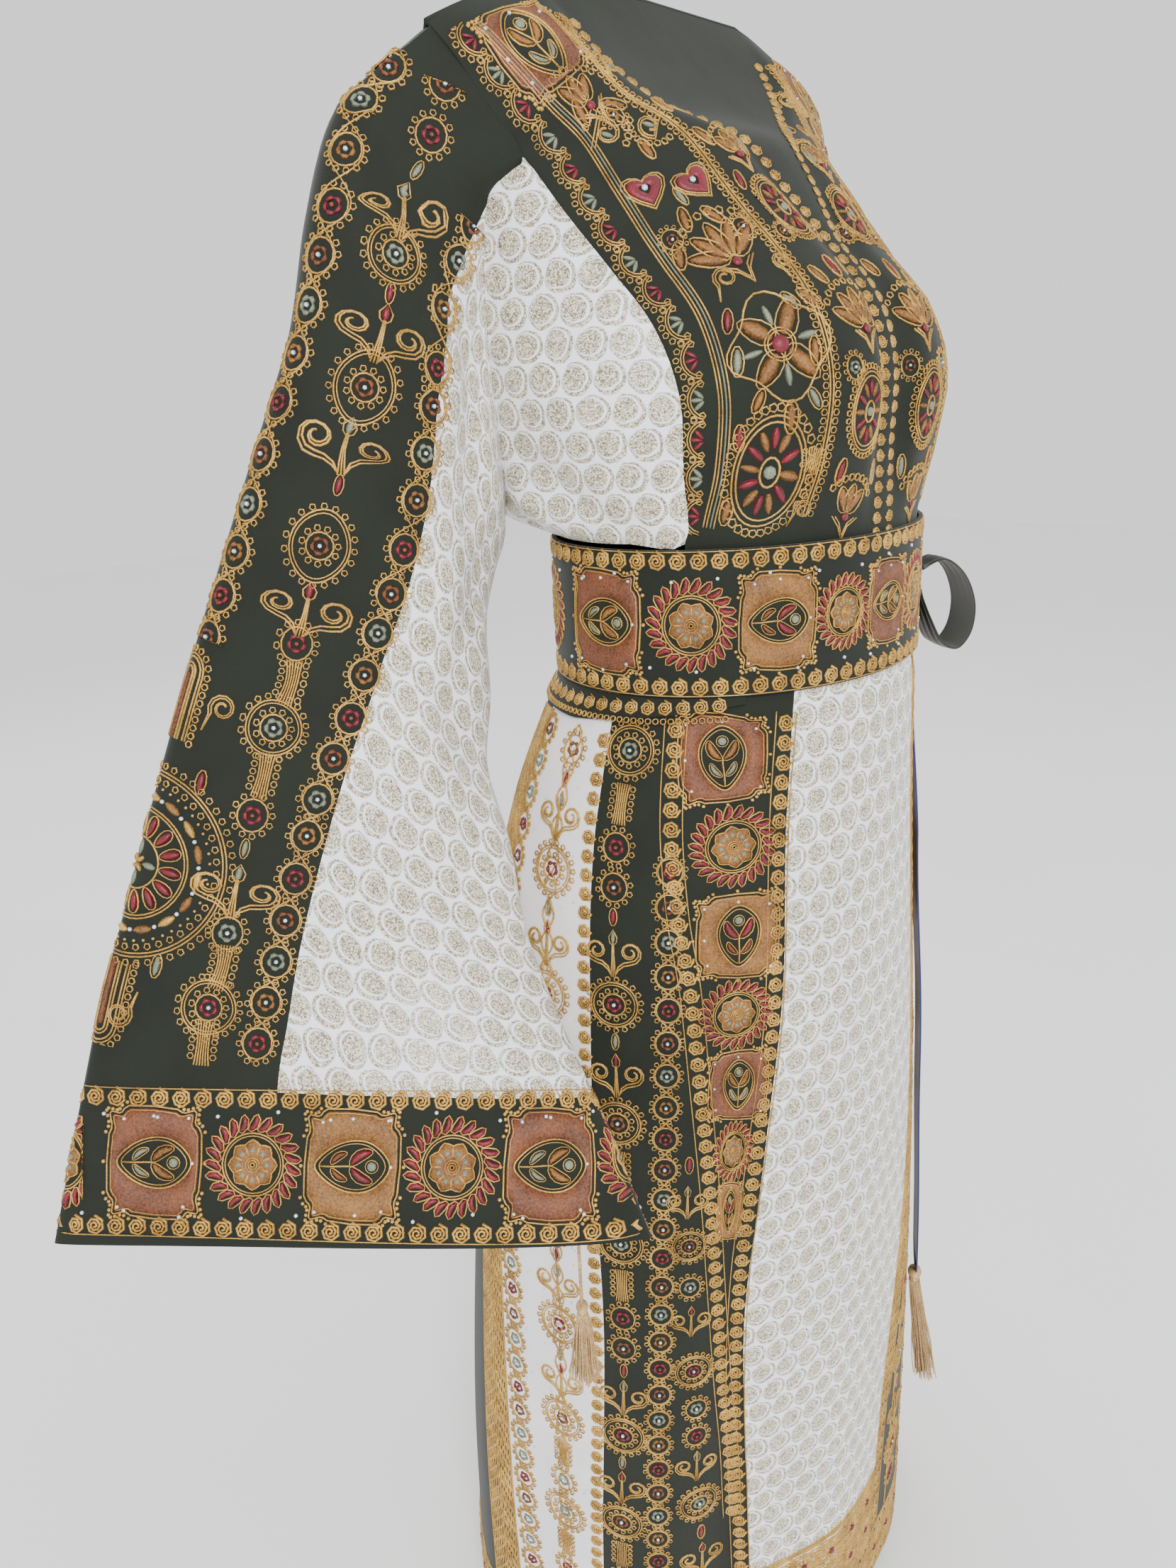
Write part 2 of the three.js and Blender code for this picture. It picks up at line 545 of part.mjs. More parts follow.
// The tail hangs down the skirt and ends in a half round.
const TAIL_STEPS = 18;
const tail = new Sheet().grid(TAIL_STEPS, 4, (i, j) => {
  const share = i / TAIL_STEPS;
  const down = TAIL.from + (TAIL.to - TAIL.from) * (1 - (1 - share) ** 1.25);
  const fromEnd = Math.min((TAIL.to - down) / TAIL.round, 1);
  const fromKnot = down - TAIL.from;
  const gathered = TAIL.gathered + (1 - TAIL.gathered) * Math.min(fromKnot / TAIL.gatheredFor, 1);
  const half = TAIL.width / 2 * gathered
    * Math.max(Math.sqrt(1 - (1 - fromEnd) ** 2), TAIL.narrowest);
  const swung = Math.max(0, 1 - fromKnot / TAIL.swungFor);
  const angle = TAIL.angle + (KNOT.angle - TAIL.angle) * swung;
  const middle = ringPoint(Math.max(down, BELT.bottom), angle);
  const frame = sashFrame(TAIL.angle, down);
  const bow = 1 - ((j - 2) / 2) ** 2;
  const stand = TAIL.stand + (TAIL.footStand - TAIL.stand) * share ** 2
    + TAIL.lifted * Math.max(0, 1 - fromKnot / TAIL.liftedFor) + bow * TAIL.bow;
  return { at: middle.setZ(-down).addScaledVector(frame.across, half * (1 - j / 2))
    .addScaledVector(frame.out, stand) };
}).wall(CLOTH);

// Closed solids are joined by a boolean library that wants merged vertices.
const wasm = await Module();
wasm.setup();
function solid(geometry) {
  const bare = geometry.clone();
  bare.deleteAttribute('normal');
  bare.deleteAttribute('uv');
  const merged = mergeVertices(bare, 1e-4);
  return new wasm.Manifold(new wasm.Mesh({
    numProp: 3,
    vertProperties: new Float32Array(merged.attributes.position.array),
    triVerts: new Uint32Array(merged.index.array),
  }));
}
function geometryOf(manifold) {
  const mesh = manifold.getMesh();
  const geometry = new THREE.BufferGeometry();
  geometry.setAttribute('position', new THREE.BufferAttribute(mesh.vertProperties, 3));
  geometry.setIndex(new THREE.BufferAttribute(mesh.triVerts, 1));
  return geometry;
}

// A tassel hangs from a place: an optional stem, a round head and straight strands that spread
// and lean away from the cloth behind them. The head's outline is a share of its radius and height.
const HEAD_OUTLINE = [[0.8, 0.15], [1, 0.45], [0.8, 0.85], [0.9, 1], [0, 1]];
const STEM_RADIUS = 1;
const STRANDS_IN_HEAD = 0.78; // share of the head's radius that the strands fill at their roots
const STRAND_SUNK = 2;
function tassel(size, at, away = point(0, 0, 0)) {
  const { headRadius: radius, headHeight: high, stem } = size;
  const onHead = HEAD_OUTLINE.map(([wide, low]) => [radius * wide, -stem - high * low]);
  const profile = [[0, 0], [STEM_RADIUS, 0], [STEM_RADIUS, -stem], ...onHead]
    .map(([r, z]) => new THREE.Vector2(r, z)).reverse();
  const head = new THREE.LatheGeometry(profile, 10).rotateX(Math.PI / 2);
  let whole = solid(head);
  for (let k = 0; k < STRANDS; k += 1) {
    const turn = k * GOLDEN_TURN;
    const reach = Math.sqrt((k + 0.5) / STRANDS);
    const inner = radius * STRANDS_IN_HEAD * reach;
    const outer = size.spread * reach;
    const top = point(inner * Math.cos(turn), inner * Math.sin(turn), -stem - high + STRAND_SUNK);
    const end = -stem - size.length + STRAND_UNEVEN * Math.cos(5 * k);
    const low = point(outer * Math.cos(turn), outer * Math.sin(turn), end)
      .addScaledVector(away, size.lean);
    const strand = new THREE.CylinderGeometry(STRAND_RADIUS, STRAND_RADIUS, 1, 3, 1);
    const run = low.clone().sub(top);
    const turned = new THREE.Quaternion()
      .setFromUnitVectors(point(0, -1, 0), run.clone().normalize());
    strand.applyMatrix4(new THREE.Matrix4()
      .compose(mix(top, low, 0.5), turned, point(1, run.length(), 1)));
    whole = whole.add(solid(strand));
  }
  return geometryOf(whole).translate(at.x, at.y, at.z);
}

const tailFrame = sashFrame(TAIL.angle, TAIL.to);
const tailFoot = ringPoint(TAIL.to, TAIL.angle).addScaledVector(tailFrame.out, TAIL.footStand)
  .setZ(-TAIL.to - CLEAR);
add('sash_knot', knot, GREEN, 0.5);
add('sash_loop', loop, GREEN, 0.5);
add('sash_tail', tail, GREEN, 0.5);
add('sash_tassel', tassel(SASH_TASSEL, tailFoot, tailFrame.out), BEIGE, 0.6);
for (const [side, surface, x] of [['right', sleevePoint, 1], ['left', leftSleevePoint, -1]]) {
  const from = surface(SLEEVE_END, CUFF_TASSEL_STEP)
    .addScaledVector(sleeveOut(surface, SLEEVE_END, CUFF_TASSEL_STEP), -BAND / 2)
    .add(point(0, 0, -CLEAR));
  add(`cuff_tassel_${side}`, tassel(CUFF_TASSEL, point(from.x * x, from.y, from.z)), BEIGE, 0.6);
}

export default group;
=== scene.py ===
# %% [markdown]
# # A long embroidered thobe
#
# The dress hangs in its worn form, with nobody in it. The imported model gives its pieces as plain
# walls. This script puts a finer panel of cloth in the place of each of them and then sews on what a
# maker couches by hand: gold cord, satin petals, coiled discs and sequins.

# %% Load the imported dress
import math

import bpy
import numpy as np
from mathutils import Matrix, Vector


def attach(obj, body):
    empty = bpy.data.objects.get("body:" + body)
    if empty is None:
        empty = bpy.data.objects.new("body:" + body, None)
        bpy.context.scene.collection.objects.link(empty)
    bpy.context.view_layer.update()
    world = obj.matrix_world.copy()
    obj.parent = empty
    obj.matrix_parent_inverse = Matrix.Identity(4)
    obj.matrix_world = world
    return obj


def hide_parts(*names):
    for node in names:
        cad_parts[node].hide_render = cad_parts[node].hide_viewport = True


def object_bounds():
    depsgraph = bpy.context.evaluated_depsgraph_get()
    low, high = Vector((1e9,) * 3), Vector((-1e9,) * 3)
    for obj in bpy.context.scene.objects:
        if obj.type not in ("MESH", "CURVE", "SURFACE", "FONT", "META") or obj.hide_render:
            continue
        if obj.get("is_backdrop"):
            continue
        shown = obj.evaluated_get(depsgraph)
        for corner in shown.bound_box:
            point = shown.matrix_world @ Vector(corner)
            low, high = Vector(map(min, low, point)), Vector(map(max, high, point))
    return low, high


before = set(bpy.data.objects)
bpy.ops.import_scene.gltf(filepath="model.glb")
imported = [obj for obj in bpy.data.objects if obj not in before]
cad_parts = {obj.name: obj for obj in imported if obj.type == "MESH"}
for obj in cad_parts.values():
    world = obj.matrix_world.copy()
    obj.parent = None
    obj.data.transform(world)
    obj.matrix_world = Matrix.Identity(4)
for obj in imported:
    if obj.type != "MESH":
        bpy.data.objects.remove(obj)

bpy.ops.object.select_all(action="DESELECT")
cad_low, cad_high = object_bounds()
MM = 0.001
print("dress", [round(v, 3) for v in cad_high - cad_low], "m")

# %% [markdown]
# The camera comes first. The photograph was taken from above the wearer's right, looking down
# a little, so the near sleeve is large and the hem is small.

# %% Camera
def add_piece(name, data):
    """A new object at the origin, linked into the scene."""
    piece = bpy.data.objects.new(name, data)
    bpy.context.scene.collection.objects.link(piece)
    return piece


PHOTO_HEIGHT = 2212
FOCAL_PIXELS = 1662
EYE = Vector((-0.66, -0.57, -0.222))
YAW, PITCH, ROLL = (math.radians(v) for v in (45.2, 19.2, -2.6))
forward = Vector((math.sin(YAW) * math.cos(PITCH), math.cos(YAW) * math.cos(PITCH), -math.sin(PITCH)))
level = forward.cross(Vector((0, 0, 1))).normalized()
above = level.cross(forward)
right = level * math.cos(ROLL) + above * math.sin(ROLL)
upward = above * math.cos(ROLL) - level * math.sin(ROLL)
lens = bpy.data.cameras.new("camera")
lens.lens = 36 * FOCAL_PIXELS / PHOTO_HEIGHT
camera = add_piece("camera", lens)
camera.matrix_world = Matrix.Translation(EYE) @ Matrix((right, upward, -forward)).transposed().to_4x4()
bpy.context.scene.camera = camera
print("lens", round(lens.lens, 2), "mm")

# %% [markdown]
# Cloth panels are surfaces with two parameters. The tables below are the dress's own pattern, in
# millimetres: a row for each section, and a smooth curve runs through the rows.

# %% Smooth curves through tables
def table(names, rows):
    return dict(zip(names, np.array(rows, float).T))


def smooth(rows, key, column, place):
    """Value of one column at any places between the rows."""
    x, y = rows[key], rows[column]
    place = np.clip(place, x[0], x[-1])
    after = np.minimum(np.arange(len(x)) + 1, len(x) - 1)
    before = np.maximum(np.arange(len(x)) - 1, 0)
    slope = (y[after] - y[before]) / (x[after] - x[before])
    i = np.clip(np.searchsorted(x, place, side="right") - 1, 0, len(x) - 2)
    width = x[i + 1] - x[i]
    u = (place - x[i]) / width
    rise = u * u * (3 - 2 * u)
    curve = slope[i] * u * (1 - u) ** 2 - slope[i + 1] * u * u * (1 - u)
    return y[i] * (1 - rise) + y[i + 1] * rise + width * curve


def curve_between(p0, p1, p2, p3, u):
    """Place on the smooth curve from p1 to p2, with p0 before it and p3 after it."""
    return p1 + 0.5 * u * (p2 - p0 + u * (2 * p0 - 5 * p1 + 4 * p2 - p3
                                          + u * (3 * (p1 - p2) + p3 - p0)))


def bell(x):
    return np.exp(-x * x)


def turns(count, first=0.0):
    """Even turns round a circle, in radians."""
    return (np.arange(count) + first) / count * 2 * math.pi


# %% [markdown]
# Below the waist each height has an oval ring. Long soft flutes stand out more and more towards
# the hem, as a heavy skirt falls.

# %% Rings of the skirt
RINGS = table(["down", "halfWidth", "halfDepth", "midX", "midY"], [
    [318, 137.4, 110.4, 0, -72], [366, 137.4, 110.4, 0, -72], [412, 137.4, 110.4, 0, -72],
    [428, 143, 115.5, -3, -70], [500, 161, 130, -11, -59], [600, 177, 145, -13, -48],
    [750, 192, 158, -12, -40], [900, 203, 169, -11, -32], [1050, 211, 177, -8, -23],
    [1190, 214, 182, -4, -16], [1250, 215, 184, -1, -12],
])
WAIST_TOP, WAIST_SEAM, HEM_BAND_TOP, HEM = 318, 366, 1186, 1250
FLUTES = [  # angle, spread, start, depth
    (-165, 12, 560, 8), (-140, 10, 500, -7), (-112, 11, 600, 7), (-84, 8, 520, -6),
    (-52, 9, 620, 5), (-12, 9, 640, -4), (10, 8, 700, 4), (38, 5, 560, -9),
    (56, 8, 640, 4), (82, 7, 560, -5), (104, 9, 600, 6), (140, 10, 520, -7), (166, 11, 600, 7),
]
SEAMS = table(["down", "frontLeft", "front", "side", "back", "sideLeft", "backLeft"], [
    [366, -31, 31, 86, 120, -86, -120], [425, -31, 30.5, 84, 118, -84, -118],
    [480, -31, 28.6, 79.5, 115, -80, -115], [600, -31, 26.8, 73.5, 109, -74, -109],
    [720, -29, 30.5, 70.5, 104, -71, -104], [850, -22, 34.4, 66.9, 99, -67, -99],
    [950, -16, 34, 66.2, 96, -66, -96], [1050, -11, 32.6, 66.2, 93.5, -66, -93],
    [1186, -8, 31.5, 66.2, 91.5, -66, -91],
])


def ring(angle, down, stand=0.0):
    """Point of the dress below the waist, in metres; the angle runs from the front to the right."""
    angle, down = np.broadcast_arrays(np.asarray(angle, float), np.asarray(down, float))
    swell = np.zeros(angle.shape) + stand
    for middle, spread, start, depth in FLUTES:
        off = ((angle - middle + 540) % 360 - 180) / spread
        swell = swell + depth * np.maximum(0, (down - start) / (HEM - start)) * bell(off)
    half_x = smooth(RINGS, "down", "halfWidth", down) + swell
    half_y = smooth(RINGS, "down", "halfDepth", down) + swell
    turn = np.radians(angle)
    return np.stack([
        smooth(RINGS, "down", "midX", down) - half_x * np.sin(turn),
        smooth(RINGS, "down", "midY", down) - half_y * np.cos(turn),
        -down], -1) * MM


BELT_STAND, BELT_TOP, BELT_BOTTOM = 3.6, 322, 411


def belt_surface(angle, down):
    at = ring(angle, WAIST_SEAM + 0 * down, BELT_STAND)
    at[..., 2] = -down * MM
    return at


# %% [markdown]
# The sleeves start at the armhole, an oval with 28 equal stitches, and open into a wide flat
# bell. The top fold and the under fold of each section are given, with how far the front and the
# back stand out between them.

# %% Armhole and sleeves
STITCHES = 28
ARMHOLE = table(["step", "x", "y", "z"], [
    [0, -185, 0, -37], [2, -171, -20, -68], [4, -150, -36, -107], [5, -159, -29, -116],
    [6, -168, -24, -128], [8, -173, -23, -178], [10, -169, -20, -231], [12, -158, -11, -276],
    [13, -150, -2, -293], [14, -146, 8, -299], [15, -147, 18, -293], [16, -151, 27, -278],
    [18, -161, 40, -230], [20, -163, 45, -176],
    [22, -157, 46, -126], [24, -147, 44, -105], [26, -168, 25, -67], [28, -185, 0, -37],
])
SLEEVE = table(
    ["part", "topX", "topY", "topZ", "underX", "underY", "underZ", "front", "back", "green"], [
        [0, -185, 0, -37, -146, 8, -299, 33, 33, 6],
        [1, -229, 20, -76, -150, 8, -322, 38, 39, 6.3],
        [2, -258, 15, -130, -163, 9, -345, 41, 43, 6.4],
        [3, -277, 18, -192, -177, 4, -377, 41, 44, 6.8],
        [4, -303, 31, -254, -188, -14, -415, 39, 45, 7.1],
        [5, -329, 43, -317, -203, -26, -455, 37, 46, 7.0],
        [6, -356, 50, -377, -209, -50, -497, 35, 47, 6.6],
        [7, -383, 54, -438, -218, -70, -545, 32, 48, 6.3],
        [8, -410, 57, -500, -223, -93, -580, 28, 49, 6.1],
        [9, -432, 58, -548, -228, -118, -610, 25, 50, 6],
        [10, -452, 56, -595, -232, -138, -632, 22, 51, 5.9],
        [11, -488, 51, -682, -240, -189, -703, 17, 53, 5.8],
    ])
CUFF_START, SLEEVE_END, HEM_WAVES, LEFT_BACKWARDS = 10, 11, 6, 105


def unit(v):
    return v / np.maximum(np.linalg.norm(v, axis=-1, keepdims=True), 1e-12)


def armhole(step):
    return np.stack([smooth(ARMHOLE, "step", axis, step % STITCHES) for axis in "xyz"], -1)


# Creases of the sleeve: part and stitch where each starts and ends, its width and its depth.
SLEEVE_CREASES = [
    (0.6, 7.5, 2.6, 8.6, 0.55, -8), (2.2, 10.5, 4.4, 9.2, 0.6, -7), (3.4, 8.4, 6.4, 8.8, 0.8, 4.5),
    (5.0, 11.2, 7.2, 9.8, 0.7, -5), (6.5, 8.0, 9.6, 8.4, 0.8, -4.5), (7.4, 11.4, 9.8, 10.6, 0.9, 3.5),
    (1.2, 18.5, 3.4, 20.0, 0.8, -5), (4.0, 17.5, 6.5, 19.5, 0.9, 4), (6.8, 18.8, 9.6, 19.5, 1.0, -4),
    (2.6, 2.6, 3.6, 4.6, 0.6, -2.2), (4.9, 1.8, 5.9, 4.4, 0.7, -2),
]


def crease_height(creases, a, b):
    """Height of the creases at places (a, b); each one fades out at its two ends."""
    total = 0.0
    for a0, b0, a1, b1, width, depth in creases:
        da, db = a1 - a0, b1 - b0
        along = ((a - a0) * da + (b - b0) * db) / (da * da + db * db)
        away = ((b - b0) * da - (a - a0) * db) / math.hypot(da, db) / width
        total = total + depth * bell(away) * bell(2 * np.clip(along, -2, 3) - 1)
    return total


def sleeve_section(part, step):
    column = lambda name, p: smooth(SLEEVE, "part", name, p)
    corner = lambda end, p: np.stack([column(end + axis, p) for axis in "XYZ"], -1)
    top, under = corner("top", part), corner("under", part)
    turn = step / STITCHES * 2 * math.pi
    low = np.minimum(part, SLEEVE_END - 0.5)
    run = sum(corner(end, low + 0.5) - corner(end, low - 0.5) for end in ("top", "under"))
    front = unit(np.cross(run, under - top))
    side = np.where(np.sin(turn) > 0, column("front", part), column("back", part))
    wave = HEM_WAVES * (part / SLEEVE_END) ** 2 * np.sin(turn) * np.sin(2 * turn)
    crease = crease_height(SLEEVE_CREASES, part, step % STITCHES) * np.sin(turn)
    share = ((1 - np.cos(turn)) / 2)[..., None]
    return top + (under - top) * share + front * (side * np.sin(turn) - wave + crease)[..., None]


def right_sleeve(part, step):
    """Point of the wearer's right sleeve, in metres."""
    part, step = np.broadcast_arrays(np.asarray(part, float), np.asarray(step, float))
    at = sleeve_section(np.maximum(part, 1), step)
    share = np.clip(part, 0, 1)[..., None]
    return (armhole(step) * (1 - share) + at * share) * MM


def left_sleeve(part, step):
    """The other sleeve hangs further back."""
    at = right_sleeve(part, step)
    back = LEFT_BACKWARDS * MM * (np.maximum(part, 0) / SLEEVE_END) ** 1.3
    return np.stack([-(at[..., 0] + back * 0.1), at[..., 1] + back, at[..., 2]], -1)


# %% [markdown]
# The bodice is cut in one piece in front and one behind. Each row of its table runs from the
# middle or the neckline to the armhole or the side seam, and stands out in between.

# %% Bodice
FRONT_ROWS = table(["row", "inX", "inY", "inZ", "seamX", "seamY", "seamZ", "fullY", "fullZ"], [
    [0, -85, 0, 0, -185, 0, -37, 0, 3], [1, -83, -20, -28, -179, -11, -51, -5, 8],
    [2, -74, -38, -50, -171, -20, -68, -8, 8], [3, -52, -64, -75, -161, -29, -88, -9, 8],
    [4, -20, -96, -93, -150, -36, -107, -12, 8], [5, -11, -119, -121, -147, -62, -138, -16, 6],
    [6, 0, -142, -151, -141, -90, -170, -21, 4], [7, 0, -172, -186, -134, -115, -201, -27, 2],
    [8, 0, -185, -224, -129, -128, -238, -29, 0], [9, 0, -184, -270, -126, -127, -278, -25, 0],
])
BACK_ROWS = table(["row", "inX", "inY", "inZ", "seamX", "seamY", "seamZ", "fullY", "fullZ"], [
    [0, -85, 0, 0, -185, 0, -37, 0, 3], [1, -50, 20, -18, -178, 13, -51, 2, 15],
    [2, 0, 29, -30, -168, 25, -67, 5, 20], [3, 0, 42, -58, -158, 36, -85, 9, 12],
    [4, 0, 51, -92, -147, 44, -105, 12, 5], [5, 0, 56, -128, -143, 46, -142, 15, 0],
    [6, 0, 58, -162, -138, 45, -178, 17, 0], [7, 0, 56, -200, -130, 40, -214, 18, 0],
    [8, 0, 51, -240, -117, 32, -250, 17, 0], [9, 0, 45, -280, -98, 25, -285, 14, 0],
])
FRONT_SEAM_ANGLE, BACK_SEAM_ANGLE, LAST_ROW, CENTRE_SOFT = 62, 150, 9, 0.2


def bodice(rows, middle_angle, seam_angle, share, row):
    """Point of the bodice in metres; a negative share is on the wearer's left."""
    share, row = np.broadcast_arrays(np.asarray(share, float), np.asarray(row, float))
    out = np.abs(share)
    soft = np.clip(out / CENTRE_SOFT, 0, 1)
    full = 4 * out * (1 - out) * soft * soft * (3 - 2 * soft)
    points = []
    for k in range(LAST_ROW + 1):
        inner, seam = (np.array([rows[end + axis][k] for axis in "XYZ"]) for end in ("in", "seam"))
        at = inner + (seam - inner) * out[..., None]
        at[..., 1] += rows["fullY"][k] * full
        at[..., 2] += rows["fullZ"][k] * full
        points.append(at * MM)
    for down in (WAIST_TOP, WAIST_SEAM):
        points.append(ring(middle_angle + (seam_angle - middle_angle) * out, down))
    points = np.stack(points)
    i = np.clip(row.astype(int), 0, len(points) - 2)
    u = (row - i)[..., None]
    pick = lambda k: np.take_along_axis(
        points, np.clip(k, 0, len(points) - 1)[None, ..., None], 0)[0]
    p0, p1, p2, p3 = (pick(i + k) for k in (-1, 0, 1, 2))
    at = curve_between(p0, p1, p2, p3, u)
    at[..., 0] = np.where(out < 1e-6, 0, at[..., 0]) * np.where(share < 0, -1, 1)
    return at


def bodice_front(share, row):
    return bodice(FRONT_ROWS, 0, FRONT_SEAM_ANGLE, share, row)


def bodice_back(share, row):
    return bodice(BACK_ROWS, 180, BACK_SEAM_ANGLE, share, row)


# %% [markdown]
# Under the arm a brocade gusset joins the armhole to the front seam, the belt and the back seam.

# %% Gusset
FRONT_POINT, SEAM_STEPS, GUSSET_FULL = 4, 6, 0.1


def seam_point(rows, k):
    return [rows["seam" + axis][k] for axis in "XYZ"]


def gusset_border():
    """Outer border point for every stitch between the front point and the back point."""
    first, last = FRONT_POINT + SEAM_STEPS, STITCHES - FRONT_POINT - SEAM_STEPS
    border = []
    for step in range(FRONT_POINT, STITCHES - FRONT_POINT + 1):
        if step < first:
            border.append([step, *seam_point(FRONT_ROWS, step)])
        elif step > last:
            border.append([step, *seam_point(BACK_ROWS, STITCHES - step)])
        else:
            share = ((step - first) / (last - first)) ** 0.8
            angle = FRONT_SEAM_ANGLE + (BACK_SEAM_ANGLE - FRONT_SEAM_ANGLE) * share
            border.append([step, *(ring(angle, WAIST_TOP) / MM)])
    return table(["step", "x", "y", "z"], border)


GUSSET_BORDER = gusset_border()
GUSSET_CREASES = [  # stitch and share where each starts and ends, width, depth
    (8.6, 0.05, 9.4, 0.98, 0.5, 5), (10.4, 0.0, 11.2, 0.95, 0.55, -7), (11.9, 0.0, 12.6, 0.95, 0.5, 6),
    (13.4, 0.0, 13.9, 0.95, 0.6, -6), (15.2, 0.05, 15.2, 0.95, 0.6, 5), (6.6, 0.1, 7.4, 0.9, 0.6, -4),
]


def gusset(step, share):
    step, share = np.broadcast_arrays(np.asarray(step, float), np.asarray(share, float))
    inner = armhole(step)
    outer = np.stack([smooth(GUSSET_BORDER, "step", axis, step) for axis in "xyz"], -1)
    at = inner + (outer - inner) * share[..., None]
    width = np.linalg.norm(outer - inner, axis=-1)
    away = unit(np.stack([at[..., 0] / 140 ** 2, (at[..., 1] + 62) / 112 ** 2, 0 * share], -1))
    edge = 4 * share * (1 - share)
    crease = crease_height(GUSSET_CREASES, step, share) * edge
    return (at + away * (GUSSET_FULL * width * edge + crease)[..., None]) * MM


# %% [markdown]
# A panel of cloth is a grid over its surface with a thickness. Its UV map is in metres of cloth,
# so that a weave has its real size whatever the panel's shape.

# %% Panel maker
CLOTH_THICKNESS = 0.0018


def grid_mesh(name, points, turned, across=None):
    """Outer skin of a panel from a grid of points, with its UV map measured along the cloth."""
    rows, cols = points.shape[:2]
    step_u = np.linalg.norm(np.diff(points, axis=1), axis=2)
    u = np.concatenate([np.zeros((rows, 1)), np.cumsum(step_u, 1)], 1)
    u -= u[:, cols // 2][:, None]
    step_v = np.linalg.norm(np.diff(points, axis=0), axis=2).mean(1)
    v = np.concatenate([[0], np.cumsum(step_v)])
    k = np.arange(rows * cols).reshape(rows, cols)
    quads = np.stack([k[:-1, :-1], k[1:, :-1], k[1:, 1:], k[:-1, 1:]], -1).reshape(-1, 4)
    if turned:
        quads = quads[:, ::-1]
    mesh = bpy.data.meshes.new(name)
    mesh.from_pydata(points.reshape(-1, 3).tolist(), [], quads.tolist())
    layer = mesh.uv_layers.new(name="cloth")
    loops = np.empty(len(mesh.loops), int)
    mesh.loops.foreach_get("vertex_index", loops)
    uv = np.stack([u, np.broadcast_to(-v[:, None], u.shape)], -1).reshape(-1, 2)
    if across is not None:
        uv = np.stack([points @ np.array(across), points[..., 2]], -1).reshape(-1, 2)
    layer.data.foreach_set("uv", uv[loops].ravel())
    return mesh, float(np.mean(u[:, -1] - u[:, 0])), float(v[-1])


def make_active(piece):
    bpy.ops.object.select_all(action="DESELECT")
    piece.select_set(True)
    bpy.context.view_layer.objects.active = piece


def finish_piece(piece, material, slot, nodes=()):
    piece.data.materials.clear()
    piece.data.materials.append(material)
    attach(piece, "root")
    if nodes:
        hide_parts(*nodes)


def cloth(name, points, material, slot, nodes, turned=False, thickness=CLOTH_THICKNESS,
          across=None):
    """A finished panel from a grid of points: skin, thickness, finish and its flat size."""
    mesh, width, length = grid_mesh(f"{name}_cloth", points, turned, across)
    piece = add_piece(mesh.name, mesh)
    make_active(piece)
    bpy.ops.object.mode_set(mode="EDIT")
    bpy.ops.mesh.select_all(action="SELECT")
    bpy.ops.mesh.remove_doubles(threshold=1e-5)
    bpy.ops.object.mode_set(mode="OBJECT")
    wall = piece.modifiers.new("thickness", "SOLIDIFY")
    wall.thickness, wall.offset = thickness, -1
    bpy.ops.object.modifier_apply(modifier="thickness")
    bpy.ops.object.shade_smooth_by_angle(angle=math.radians(50))
    finish_piece(piece, material, slot, nodes)
    print(name, f"{width:.3f} x {length:.3f} m,", len(piece.data.polygons), "faces")


def spaced(start, end, gap):
    """Even places from start to end, at most a gap apart."""
    return np.linspace(start, end, max(2, int(math.ceil(abs(end - start) / gap)) + 1))

# %% [markdown]
# ## Finishes
#
# Every finish is made of nodes. The green crepe has a fine crosswise rib, the brocade has woven
# discs and crescents that catch the light, with their glints painted into the colour, and the cords
# are twisted metal thread. A tiny bump does the work where the thread is thinner than a hair.

# %% Helpers for finishes
def linear(colour):
    """A colour as a painter reads it, 0 to 255, turned into light."""
    return tuple((c / 255 / 12.92 if c / 255 <= 0.04045 else ((c / 255 + 0.055) / 1.055) ** 2.4)
                 for c in colour) + (1.0,)


